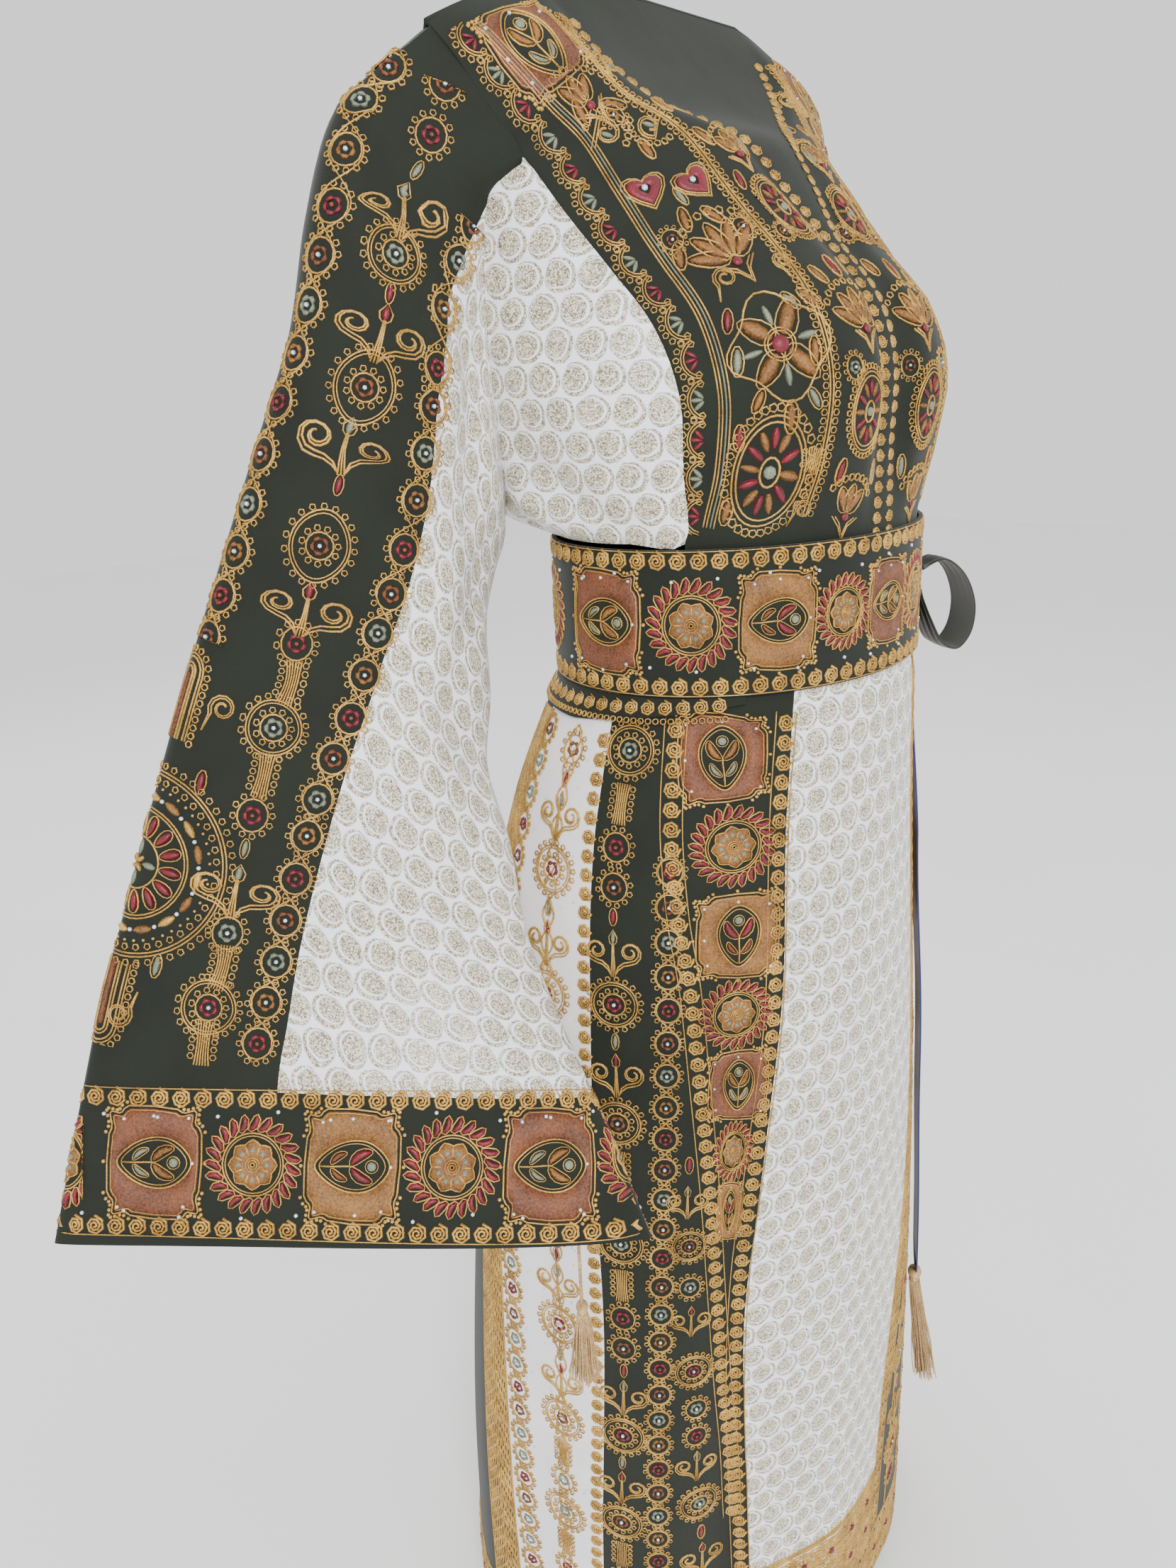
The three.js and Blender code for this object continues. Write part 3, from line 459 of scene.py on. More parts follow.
class Finish:
    """A material and short ways to add nodes to it."""

    def __init__(self, name, roughness=0.8, metallic=0.0, sheen=0.0, specular=0.3):
        self.material = bpy.data.materials.new(name)
        self.material.use_nodes = True
        self.tree = self.material.node_tree
        self.shader = self.tree.nodes["Principled BSDF"]
        self.shader.inputs["Roughness"].default_value = roughness
        self.shader.inputs["Metallic"].default_value = metallic
        self.shader.inputs["Sheen Weight"].default_value = sheen
        self.shader.inputs["Specular IOR Level"].default_value = specular

    def node(self, kind, links=None, **values):
        made = self.tree.nodes.new("ShaderNode" + kind)
        for key, value in values.items():
            setattr(made, key, value)
        for key, source in (links or {}).items():
            if hasattr(source, "is_output"):
                self.tree.links.new(source, made.inputs[key])
            else:
                made.inputs[key].default_value = source
        return made

    def math(self, operation, a, b=0.0, c=0.0):
        return self.node("Math", {0: a, 1: b, 2: c}, operation=operation).outputs[0]

    def coordinates(self, kind="UV"):
        return self.node("TexCoord").outputs[kind]

    def noise(self, at, scale, detail=2.0, rough=0.5, stretch=None):
        if stretch:
            at = self.node("Mapping", {"Vector": at, "Scale": stretch}).outputs[0]
        return self.node("TexNoise", {
            "Vector": at, "Scale": scale, "Detail": detail, "Roughness": rough}).outputs["Fac"]

    def range(self, value, low, high, to_low=0.0, to_high=1.0):
        return self.node("MapRange", {
            "Value": value, "From Min": low, "From Max": high, "To Min": to_low,
            "To Max": to_high}).outputs[0]

    def blend(self, share, a, b):
        made = self.node("Mix", data_type="RGBA")
        for key, value in ((0, share), (6, a), (7, b)):
            if hasattr(value, "is_output"):
                self.tree.links.new(value, made.inputs[key])
            else:
                made.inputs[key].default_value = value
        return made.outputs[2]

    def colour(self, source):
        self.tree.links.new(source, self.shader.inputs["Base Color"])

    def bump(self, height, strength=0.5, distance=0.001, before=None):
        links = {"Height": height, "Strength": strength, "Distance": distance}
        if before:
            links["Normal"] = before
        made = self.node("Bump", links).outputs[0]
        self.tree.links.new(made, self.shader.inputs["Normal"])
        return made


# %% [markdown]
# The green crepe is nearly black-green. Its rib runs across the cloth, one about every millimetre
# and a half, and the dye takes unevenly.

# %% Crepe
def crepe(name, light, dark, rib=3800, sheen=0.08):
    made = Finish(name, roughness=0.78, sheen=sheen)
    uv = made.coordinates()
    split = made.node("SeparateXYZ", {0: uv})
    rib_wave = made.math("SINE", made.math("MULTIPLY", split.outputs[1], rib))
    grain = made.noise(uv, 900, 3)
    patches = made.noise(uv, 22, 4)
    share = made.math("ADD", made.math("MULTIPLY", patches, 0.7), made.math("MULTIPLY", grain, 0.3))
    made.colour(made.blend(made.range(share, 0.3, 0.7), dark, light))
    height = made.math("ADD", made.math("MULTIPLY", rib_wave, 0.1), grain)
    soft = made.bump(made.noise(uv, 9, 3), 0.35, 0.004)
    made.bump(height, 0.5, 0.0004, soft)
    return made.material


GREEN_CREPE = crepe("green_crepe", linear((20, 28, 14)), linear((11, 16, 8)))
WHITE_CREPE = crepe("white_crepe", linear((238, 234, 233)), linear((222, 218, 220)), 4200, 0.2)


# %% [markdown]
# The brocade is white satin with a woven repeat: champagne discs about 18 mm across, each with a
# pale crescent on its side, in rows that are shifted by half a repeat. Each disc is a distance
# from the middle of its cell, and a crescent is one disc with a second one cut away.

# %% Brocade
REPEAT_ACROSS, REPEAT_DOWN = 0.0190, 0.0180


def brocade(name, disc_dark_and_glint, ground):
    made = Finish(name, roughness=0.42, sheen=0.15, specular=0.5)
    uv = made.coordinates()
    split = made.node("SeparateXYZ", {0: uv})
    warp = made.math("MULTIPLY", made.math("SUBTRACT", made.noise(uv, 60, 2), 0.5), 0.30)
    down = made.math("ADD", made.math("DIVIDE", split.outputs[1], REPEAT_DOWN), warp)
    row = made.math("FLOOR", down)
    shift = made.math("MULTIPLY", made.math("MODULO", row, 2.0), 0.5)
    across = made.math("ADD", made.math("ADD", made.math(
        "DIVIDE", split.outputs[0], REPEAT_ACROSS), shift), warp)
    in_x = made.math("SUBTRACT", made.math("FRACT", across), 0.5)
    in_y = made.math("SUBTRACT", made.math("FRACT", down), 0.5)

    def away(x, y, flat=1.0):
        dx = made.math("SUBTRACT", in_x, x)
        dy = made.math("MULTIPLY", made.math("SUBTRACT", in_y, y), flat)
        return made.math("SQRT", made.math("ADD", made.math("MULTIPLY", dx, dx),
                                           made.math("MULTIPLY", dy, dy)))

    whole = made.range(away(0, 0, 0.94), 0.50, 0.465)
    bite = made.range(away(0.05, 0.04), 0.435, 0.41)
    inner = made.range(away(0.09, 0.05), 0.385, 0.355)
    crescent = made.math("SUBTRACT", whole, bite)
    shape = made.math("MAXIMUM", crescent, inner)
    # Painted glints: tiny cells shade the champagne discs from dark to light and stand in for the
    # sparkle of their thread.
    glint_cells = made.node("TexVoronoi", {"Vector": uv, "Scale": 1500.0}).outputs["Color"]
    glint = made.node("SeparateColor", {0: glint_cells}).outputs[0]
    champagne_painted_glints = made.blend(made.range(glint, 0.15, 0.95), linear(disc_dark_and_glint[0]), linear(disc_dark_and_glint[1]))
    satin = made.blend(made.noise(uv, 18, 3), linear(ground[0]), linear(ground[1]))
    made.colour(made.blend(shape, satin, champagne_painted_glints))
    made.tree.links.new(made.range(shape, 0, 1, 0.46, 0.36), made.shader.inputs["Roughness"])
    height = made.math("ADD", shape, made.math("MULTIPLY", glint, 0.35))
    soft = made.bump(made.noise(uv, 14, 4), 0.7, 0.008)
    made.bump(height, 0.7, 0.0006, soft)
    return made.material


# The two disc colours are the dark and the light ends of the painted glints.
BROCADE = brocade("brocade", ((112, 100, 74), (240, 234, 214)), ((224, 230, 242), (252, 252, 254)))


# %% [markdown]
# Cord, silk and satin share one recipe: a colour that varies a little, a thread bump and the
# right gloss. The couched gold is metal thread round a cotton core, so it is only partly metallic.

# %% Threads
def thread(name, light, dark, roughness, metallic=0.0, sheen=0.0, scale=1200, depth=0.0003):
    made = Finish(name, roughness=roughness, metallic=metallic, sheen=sheen, specular=0.5)
    at = made.coordinates("Object")
    fine = made.noise(at, scale, 2)
    broad = made.noise(at, 60, 3)
    share = made.math("ADD", made.math("MULTIPLY", fine, 0.6), made.math("MULTIPLY", broad, 0.4))
    made.colour(made.blend(made.range(share, 0.35, 0.65), linear(dark), linear(light)))
    made.bump(fine, 0.7, depth)
    return made.material


GOLD = thread("gold_cord", (220, 178, 92), (132, 94, 36), 0.42, metallic=0.3)
CRIMSON = thread("crimson_silk", (128, 8, 33), (76, 3, 18), 0.45, sheen=0.05)
ROSE = thread("rose_silk", (128, 72, 38), (70, 36, 18), 0.6, sheen=0.0, scale=700, depth=0.0009)
TAN = thread("tan_silk", (150, 102, 44), (88, 54, 20), 0.6, sheen=0.0, scale=700, depth=0.0009)
GREY = thread("grey_silk", (130, 138, 116), (84, 92, 74), 0.5, sheen=0.05)
PEARL = thread("sequins", (238, 240, 248), (176, 196, 206), 0.18, metallic=0.35, scale=300)
TASSEL = thread("tassel_thread", (206, 174, 124), (150, 116, 72), 0.4, metallic=0.15, scale=700)


# %% [markdown]
# The sash is thin dark green satin with a narrow navy edge, so its finish reads how far across
# the strip a point lies from the UV map.

# %% Sash satin
def sash_satin(half_width, edge):
    made = Finish("sash_satin", roughness=0.38, sheen=0.1, specular=0.5)
    uv = made.coordinates()
    split = made.node("SeparateXYZ", {0: uv})
    from_middle = made.math("ABSOLUTE", split.outputs[0])
    at_edge = made.range(from_middle, half_width - edge, half_width - edge * 0.7)
    green = made.blend(made.noise(uv, 40, 3), linear((14, 20, 13)), linear((24, 32, 22)))
    made.colour(made.blend(at_edge, green, linear((22, 26, 92))))
    made.bump(made.noise(uv, 500, 2, stretch=(1, 6, 1)), 0.3, 0.0004)
    return made.material


SASH_SATIN = sash_satin(0.020, 0.0028)

# %% [markdown]
# ## The cloth
#
# Each panel replaces its plain wall. Nothing is sewn on yet.

# %% Skirt panels
SKIRT_GAP = 0.0125


def skirt_panel(name, first, last, material, slot):
    down = spaced(WAIST_SEAM, HEM_BAND_TOP, SKIRT_GAP / MM)
    begin, end = (smooth(SEAMS, "down", seam, down) for seam in (first, last))
    end = np.where(end < begin, end + 360, end)
    reach = float(np.max(end - begin)) * math.radians(200)
    share = spaced(0, 1, SKIRT_GAP / MM / reach)
    angle = begin[:, None] + (end - begin)[:, None] * share[None]
    cloth(name, ring(angle, down[:, None]), material, slot, [name], turned=True)


skirt_panel("skirt_front", "frontLeft", "front", BROCADE, "brocade")
skirt_panel("skirt_side_front_right", "front", "side", GREEN_CREPE, "green_crepe")
skirt_panel("skirt_side_front_left", "sideLeft", "frontLeft", GREEN_CREPE, "green_crepe")
skirt_panel("skirt_side_right", "side", "back", WHITE_CREPE, "white_crepe")
skirt_panel("skirt_side_left", "backLeft", "sideLeft", WHITE_CREPE, "white_crepe")
skirt_panel("skirt_back", "back", "backLeft", GREEN_CREPE, "green_crepe")

around = spaced(0, 360, 3.2)
cloth("hem_band", ring(around[None], spaced(HEM_BAND_TOP, HEM, 8)[:, None]), GREEN_CREPE,
      "green_crepe", ["hem_band"], turned=True)

# %% [markdown]
# The belt and the cuffs are stiffened bands. A second narrow edge, the underlap, shows below the
# belt from the front round the wearer's right side to the back.

# %% Belt and underlap
UNDERLAP_TOP, UNDERLAP_SHALLOW, UNDERLAP_DEEP = 411.6, 416, 430
UNDERLAP_FROM, UNDERLAP_GROWN, UNDERLAP_TO, UNDERLAP_STAND = 45, 100, 300, 2.8
BAND_THICKNESS = 0.0025


def underlap_bottom(angle):
    grown = np.clip((angle - UNDERLAP_FROM) / (UNDERLAP_GROWN - UNDERLAP_FROM), 0, 1)
    return UNDERLAP_SHALLOW + (UNDERLAP_DEEP - UNDERLAP_SHALLOW) * grown


cloth("belt", belt_surface(around[None], spaced(BELT_TOP, BELT_BOTTOM, 11)[:, None]), GREEN_CREPE,
      "couched_band", ["belt"], turned=True, thickness=BAND_THICKNESS)
lap = spaced(UNDERLAP_FROM, UNDERLAP_TO, 2.6)
lap_share = np.linspace(0, 1, 3)[:, None]
lap_down = UNDERLAP_TOP + (underlap_bottom(lap)[None] - UNDERLAP_TOP) * lap_share
cloth("belt_underlap", ring(lap[None], lap_down, UNDERLAP_STAND), GREEN_CREPE, "couched_band",
      ["belt_underlap"], turned=True)

# %% Bodice panels
BODICE_ROWS = np.concatenate([spaced(0, LAST_ROW, 0.2), [9.5, 10, 10.5, 11]])
shares = spaced(-1, 1, 0.05)
cloth("bodice_front", bodice_front(shares[None], BODICE_ROWS[:, None]), GREEN_CREPE, "green_crepe",
      ["bodice_front"], turned=True)
cloth("bodice_back", bodice_back(shares[None], BODICE_ROWS[:, None]), GREEN_CREPE, "green_crepe",
      ["bodice_back"])

# %% Sleeves, cuffs and gussets
SLEEVE_PARTS = spaced(0, CUFF_START, 0.12)
green_edge = smooth(SLEEVE, "part", "green", SLEEVE_PARTS)[:, None]
top_steps = -green_edge + 2 * green_edge * spaced(0, 1, 0.045)[None]
under_steps = green_edge + (STITCHES - 2 * green_edge) * spaced(0, 1, 0.03)[None]
cuff_steps = spaced(0, STITCHES, 0.28)[None]
cuff_parts = spaced(CUFF_START, SLEEVE_END, 0.1)[:, None]
gusset_steps = spaced(FRONT_POINT, STITCHES - FRONT_POINT, 0.25)[None]
gusset_shares = spaced(0, 1, 0.07)[:, None]
SIDES = (("right", right_sleeve, 1), ("left", left_sleeve, -1))
parts = SLEEVE_PARTS[:, None]
for side, sleeve, sign in SIDES:
    turned = sign < 0
    cloth(f"sleeve_top_{side}", sleeve(parts, top_steps), GREEN_CREPE, "green_crepe",
          [f"sleeve_top_{side}"], turned=turned)
    cloth(f"sleeve_under_{side}", sleeve(parts, under_steps), BROCADE, "brocade",
          [f"sleeve_under_{side}"], turned=turned)
    cloth(f"cuff_{side}", sleeve(cuff_parts, cuff_steps), GREEN_CREPE, "couched_band",
          [f"cuff_{side}"], turned=turned, thickness=BAND_THICKNESS)
    mirrored = gusset(gusset_steps, gusset_shares) * np.array([sign, 1, 1])
    cloth(f"bodice_gusset_{side}", mirrored, BROCADE, "brocade", [f"bodice_gusset_{side}"],
          turned=turned, across=(-0.45 * sign, 0.89, 0))

# %% [markdown]
# ## The sash
#
# The belt ties at the wearer's left front. One loop droops from the knot and one long tail hangs
# almost to the knees. Both are strips of satin, wider than the knot that gathers them, so small
# pleats run out of the knot and fade.

# %% Places on the sash
KNOT_ANGLE, KNOT_DOWN, KNOT_ACROSS, KNOT_HIGH, KNOT_DEEP, CLEAR = -64, 372, 13, 15, 8, 0.4


def sash_frame(angle, down):
    """Outward and sideways directions of the dress at a place."""
    along = ring(angle + 0.5, down) - ring(angle - 0.5, down)
    below = ring(angle, down + 0.5) - ring(angle, down - 0.5)
    out = np.cross(along, below)
    out[..., 2] = 0
    out = unit(out)
    return out, np.cross(np.array([0, 0, 1.0]), out)


knot_out, knot_across = sash_frame(KNOT_ANGLE, KNOT_DOWN)
knot_at = ring(KNOT_ANGLE, WAIST_SEAM, BELT_STAND + KNOT_DEEP + CLEAR)
knot_at[2] = -KNOT_DOWN * MM
print("knot at", knot_at.round(3))

# %% Knot
bpy.ops.object.select_all(action="DESELECT")
bpy.ops.mesh.primitive_uv_sphere_add(segments=48, ring_count=28, radius=1)
knot = bpy.context.object
knot.name = knot.data.name = "sash_knot_folds"
KNOT_FOLDS, KNOT_FOLD_DEPTH = 7, 0.09
corners = np.array([v.co for v in knot.data.vertices])
lean = corners[:, 0] * 0.8 + corners[:, 2] * 0.6
fold = np.abs(np.sin(lean * KNOT_FOLDS + 0.8 * corners[:, 1])) * KNOT_FOLD_DEPTH
pinch = 1 - 0.16 * bell(corners[:, 2] / 0.35)
corners = corners * (1 - fold)[:, None]
corners[:, 0] *= pinch
placed = (knot_at + corners[:, :1] * knot_across * KNOT_ACROSS * MM
          + corners[:, 1:2] * knot_out * KNOT_DEEP * MM
          + corners[:, 2:] * np.array([0, 0, KNOT_HIGH * MM]))
knot.data.vertices.foreach_set("co", placed.ravel())
knot.data.update()
make_active(knot)
bpy.ops.object.mode_set(mode="EDIT")
bpy.ops.mesh.select_all(action="SELECT")
bpy.ops.mesh.normals_make_consistent(inside=False)
bpy.ops.object.mode_set(mode="OBJECT")
bpy.ops.object.shade_smooth()
finish_piece(knot, SASH_SATIN, "sash_satin", ["sash_knot"])

# %% Loop
LOOP_PATH = [(8.6, -4), (25, -10), (41, 2), (50, 24), (48, 46), (37, 59), (24, 54), (14, 34),
             (6.6, 12.6)]
LOOP_STEPS = 61
LOOP_WIDTH, LOOP_GATHERED, SASH_THICKNESS = 34, 0.55, 0.0012


def even_curve(points, count):
    """A smooth curve through points, at even places."""
    points = np.array(points, float)
    place = np.linspace(0, len(points) - 1, count)
    i = np.clip(place.astype(int), 0, len(points) - 2)
    u = (place - i)[:, None]
    first = 2 * points[0] - points[1]
    last = 2 * points[-1] - points[-2]
    padded = np.vstack([first, points, last])
    return curve_between(*(padded[i + k] for k in range(4)), u)


loop_path = even_curve(LOOP_PATH, LOOP_STEPS)
loop_share = np.linspace(0, 1, LOOP_STEPS)
loop_middle = knot_at + (loop_path[:, :1] * knot_out - loop_path[:, 1:] * np.array([0, 0, 1])) * MM
loop_run = unit(np.gradient(loop_middle, axis=0))
loop_out = np.cross(knot_across, loop_run)
loop_half = LOOP_WIDTH / 2 * (LOOP_GATHERED + (1 - LOOP_GATHERED) * np.sin(math.pi * loop_share))
across = np.linspace(1, -1, 21)
PLEATS, PLEAT_DEPTH = 3.5, 1.6
near_knot = np.abs(1 - 2 * loop_share) ** 3
pleat = np.cos(across[None] * math.pi * PLEATS) * near_knot[:, None] * PLEAT_DEPTH
hollow = 1.2 * np.sin(math.pi * loop_share)[:, None] * (across ** 2)[None]
cloth("sash_loop", loop_middle[:, None]
      + knot_across * (loop_half[:, None] * across)[..., None] * MM
      + loop_out[:, None] * (pleat + hollow)[..., None] * MM,
      SASH_SATIN, "sash_satin", ["sash_loop"], turned=True, thickness=SASH_THICKNESS)

# %% Tail
TAIL_FROM, TAIL_TO, TAIL_ANGLE, TAIL_WIDTH, TAIL_STAND, TAIL_FOOT = 392, 986, -41, 40, 3.6, 9
TAIL_ROUND, TAIL_BOW, TAIL_GATHERED, TAIL_NARROWEST = 20, 1.5, 0.45, 0.16
GATHERED_FOR, TAIL_LIFTED, LIFTED_FOR, SWUNG_FOR = 50, 6, 60, 160
tail_share = np.linspace(0, 1, 121)
tail_down = TAIL_FROM + (TAIL_TO - TAIL_FROM) * (1 - (1 - tail_share) ** 1.25)
from_knot = tail_down - TAIL_FROM
from_end = np.minimum((TAIL_TO - tail_down) / TAIL_ROUND, 1)
gathered = TAIL_GATHERED + (1 - TAIL_GATHERED) * np.minimum(from_knot / GATHERED_FOR, 1)
rounded = np.maximum(np.sqrt(1 - (1 - from_end) ** 2), TAIL_NARROWEST)
tail_angle = TAIL_ANGLE + (KNOT_ANGLE - TAIL_ANGLE) * np.maximum(0, 1 - from_knot / SWUNG_FOR)
tail_middle = ring(tail_angle, np.maximum(tail_down, BELT_BOTTOM))
tail_middle[:, 2] = -tail_down * MM
tail_out, tail_across = sash_frame(TAIL_ANGLE, tail_down)
sheet_across = np.linspace(1, -1, 17)
stand = (TAIL_STAND + (TAIL_FOOT - TAIL_STAND) * tail_share ** 2
         + TAIL_LIFTED * np.maximum(0, 1 - from_knot / LIFTED_FOR))
ripple = 0.9 * np.sin(tail_down / 41) * np.sin(tail_down / 173 + 1)
pleat = np.cos(sheet_across[None] * 9) * np.maximum(0, 1 - from_knot / 110)[:, None] * 1.5
stand = (stand + ripple)[:, None] + TAIL_BOW * (1 - sheet_across ** 2) + pleat
tail_half = TAIL_WIDTH / 2 * gathered * rounded
cloth("sash_tail", tail_middle[:, None]
      + tail_across[:, None] * (tail_half[:, None] * sheet_across)[..., None] * MM
      + tail_out[:, None] * stand[..., None] * MM,
      SASH_SATIN, "sash_satin", ["sash_tail"], thickness=SASH_THICKNESS)

# %% [markdown]
# ## Tassels
#
# A tassel is a head wound with cord, and a skirt of thin threads whose roots are inside the head.
# The strands here are two-ply cords that spread, each with its own length and a little wave.

# %% Tassel maker
STRANDS, STRAND_SIDES, STRAND_RADIUS, GOLDEN_TURN = 80, 4, 0.00055, 2.399963
NEVER_ALONG = (0.37, 0.93, 0.05)   # a direction that no strand follows


def tube(points, radius, sides, taper=1.0):
    """Closed tube through points; returns its corners and faces."""
    points = np.asarray(points)
    run = unit(np.gradient(points, axis=0))
    side = unit(np.cross(run, NEVER_ALONG))
    other = np.cross(run, side)
    turn = turns(sides)
    size = radius * np.linspace(1, taper, len(points))
    around = side[:, None] * np.cos(turn)[None, :, None] + other[:, None] * np.sin(turn)[None, :, None]
    corners = (points[:, None] + around * size[:, None, None]).reshape(-1, 3)
    k = np.arange(len(points) * sides).reshape(len(points), sides)
    nxt = np.roll(k, -1, 1)
    faces = np.stack([k[:-1], nxt[:-1], nxt[1:], k[1:]], -1).reshape(-1, 4).tolist()
    faces += [k[0][::-1].tolist(), k[-1].tolist()]
    return corners, faces


def tassel(name, at, length, head_radius, head_height, spread, stem, lean=(0, 0, 0)):
    rng = np.random.default_rng(len(name))
    corners, faces = [], []

    def take(part):
        base = sum(len(c) for c in corners)
        corners.append(part[0])
        faces.extend([[k + base for k in face] for face in part[1]])

    def turned(outline, sides=20):
        rings = np.array(outline) * MM
        turn = turns(sides)
        points = np.stack([rings[:, :1] * np.cos(turn), rings[:, :1] * np.sin(turn),
                           rings[:, 1:] + 0 * turn], -1)
        k = np.arange(points.shape[0] * sides).reshape(-1, sides)
        nxt = np.roll(k, -1, 1)
        quads = np.stack([k[:-1], k[1:], nxt[1:], nxt[:-1]], -1).reshape(-1, 4).tolist()
        return points.reshape(-1, 3), quads + [k[0].tolist(), k[-1][::-1].tolist()]

    if stem:
        ply = np.linspace(0, 1, 60)
        for start in (0, math.pi):
            turn = start + ply * stem / 3.2 * math.pi
            take(tube(np.stack([0.55 * np.cos(turn), 0.55 * np.sin(turn), -stem * ply], -1) * MM,
                      0.00075, 6))
    wound = []
    for k in range(25):
        share = k / 24
        bulge = 0.72 + 0.28 * math.sin(math.pi * min(share * 1.5, 1))
        wound.append((head_radius * bulge * (1.0 if k % 2 else 0.9), -stem - head_height * share))
    take(turned([(0.3, -stem + 0.2)] + wound + [(0.3, -stem - head_height - 0.5)]))
    for k in range(STRANDS):
        turn = k * GOLDEN_TURN
        reach = math.sqrt((k + 0.5) / STRANDS)
        inner, outer = head_radius * 0.8 * reach, spread * reach * rng.uniform(0.8, 1.1)
        share = np.linspace(0, 1, 9)[:, None]
        top = np.array([inner * math.cos(turn), inner * math.sin(turn), -stem - head_height + 2])
        low = np.array([outer * math.cos(turn), outer * math.sin(turn),
                        -stem - length + rng.uniform(0, 7)]) + np.array(lean)
        sway = np.array([math.cos(turn * 3), math.sin(turn * 5), 0]) * 0.9
        path = top + (low - top) * share + sway * np.sin(share * math.pi * rng.uniform(1, 2.6))
        take(tube(path * MM, STRAND_RADIUS, STRAND_SIDES, 0.9))
    mesh = bpy.data.meshes.new(f"{name}_threads")
    mesh.from_pydata((np.vstack(corners) + at).tolist(), [], faces)
    piece = add_piece(mesh.name, mesh)
    make_active(piece)
    bpy.ops.object.shade_smooth_by_angle(angle=math.radians(60))
    finish_piece(piece, TASSEL, "tassel_thread", [name])
    print(name, len(mesh.polygons), "faces")


# %% Three tassels
foot_out, _ = sash_frame(TAIL_ANGLE, TAIL_TO)
foot = ring(TAIL_ANGLE, TAIL_TO) + foot_out * TAIL_FOOT * MM
foot[2] = (-TAIL_TO - CLEAR) * MM
tassel("sash_tassel", foot, 122, 6, 15, 10, 0, foot_out * 14)
CUFF_TASSEL_STEP = 17.2
for side, sleeve, sign in SIDES:
    at = sleeve(SLEEVE_END, CUFF_TASSEL_STEP)
    along = at - sleeve(SLEEVE_END - 0.04, CUFF_TASSEL_STEP)
    round_it = (sleeve(SLEEVE_END, CUFF_TASSEL_STEP + 0.02)
                - sleeve(SLEEVE_END, CUFF_TASSEL_STEP - 0.02))
    out = unit(np.cross(along, round_it)) * sign
    at = at - out * BAND_THICKNESS / 2 - np.array([0, 0, CLEAR * MM])
    tassel(f"cuff_tassel_{side}", at, 62, 4, 10, 11, 60)

# %% [markdown]
# ## Embroidery
#
# The maker draws a design on the cloth, lays metal cord along each line and stitches it down.
# So a design is a flat drawing in millimetres, and it is then bent onto the surface. A drawing
# has u to the right, v downwards and a height above the cloth. Every cord is a low closed ridge,
# and every satin petal is a thick, short ridge.

# %% Drawing with cord
CORD, CORD_HEIGHT, SUNK = 1.55, 1.05, 0.25


def gather(kept, key, corners, quads, tris):
    """Add faces to those kept under a key, with their corners numbered on."""
    store = kept.setdefault(key, [[], [], [], 0])
    store[0].append(corners)
    store[1].append(np.asarray(quads, int).reshape(-1, 4) + store[3])
    store[2].append(np.asarray(tris, int).reshape(-1, 3) + store[3])
    store[3] += len(corners)


def polar(radius, turn):
    return radius * math.cos(turn), radius * math.sin(turn)


def turned_to(at, angle, u, v):
    """Points (u, v) of a drawing, turned and moved to their place."""
    c, s = math.cos(angle), math.sin(angle)
    return np.stack([at[0] + u * c - v * s, at[1] + u * s + v * c], 1)


def oval_line(half_u, half_v, count):
    return np.stack([half_u * np.cos(turns(count)), half_v * np.sin(turns(count))], 1)


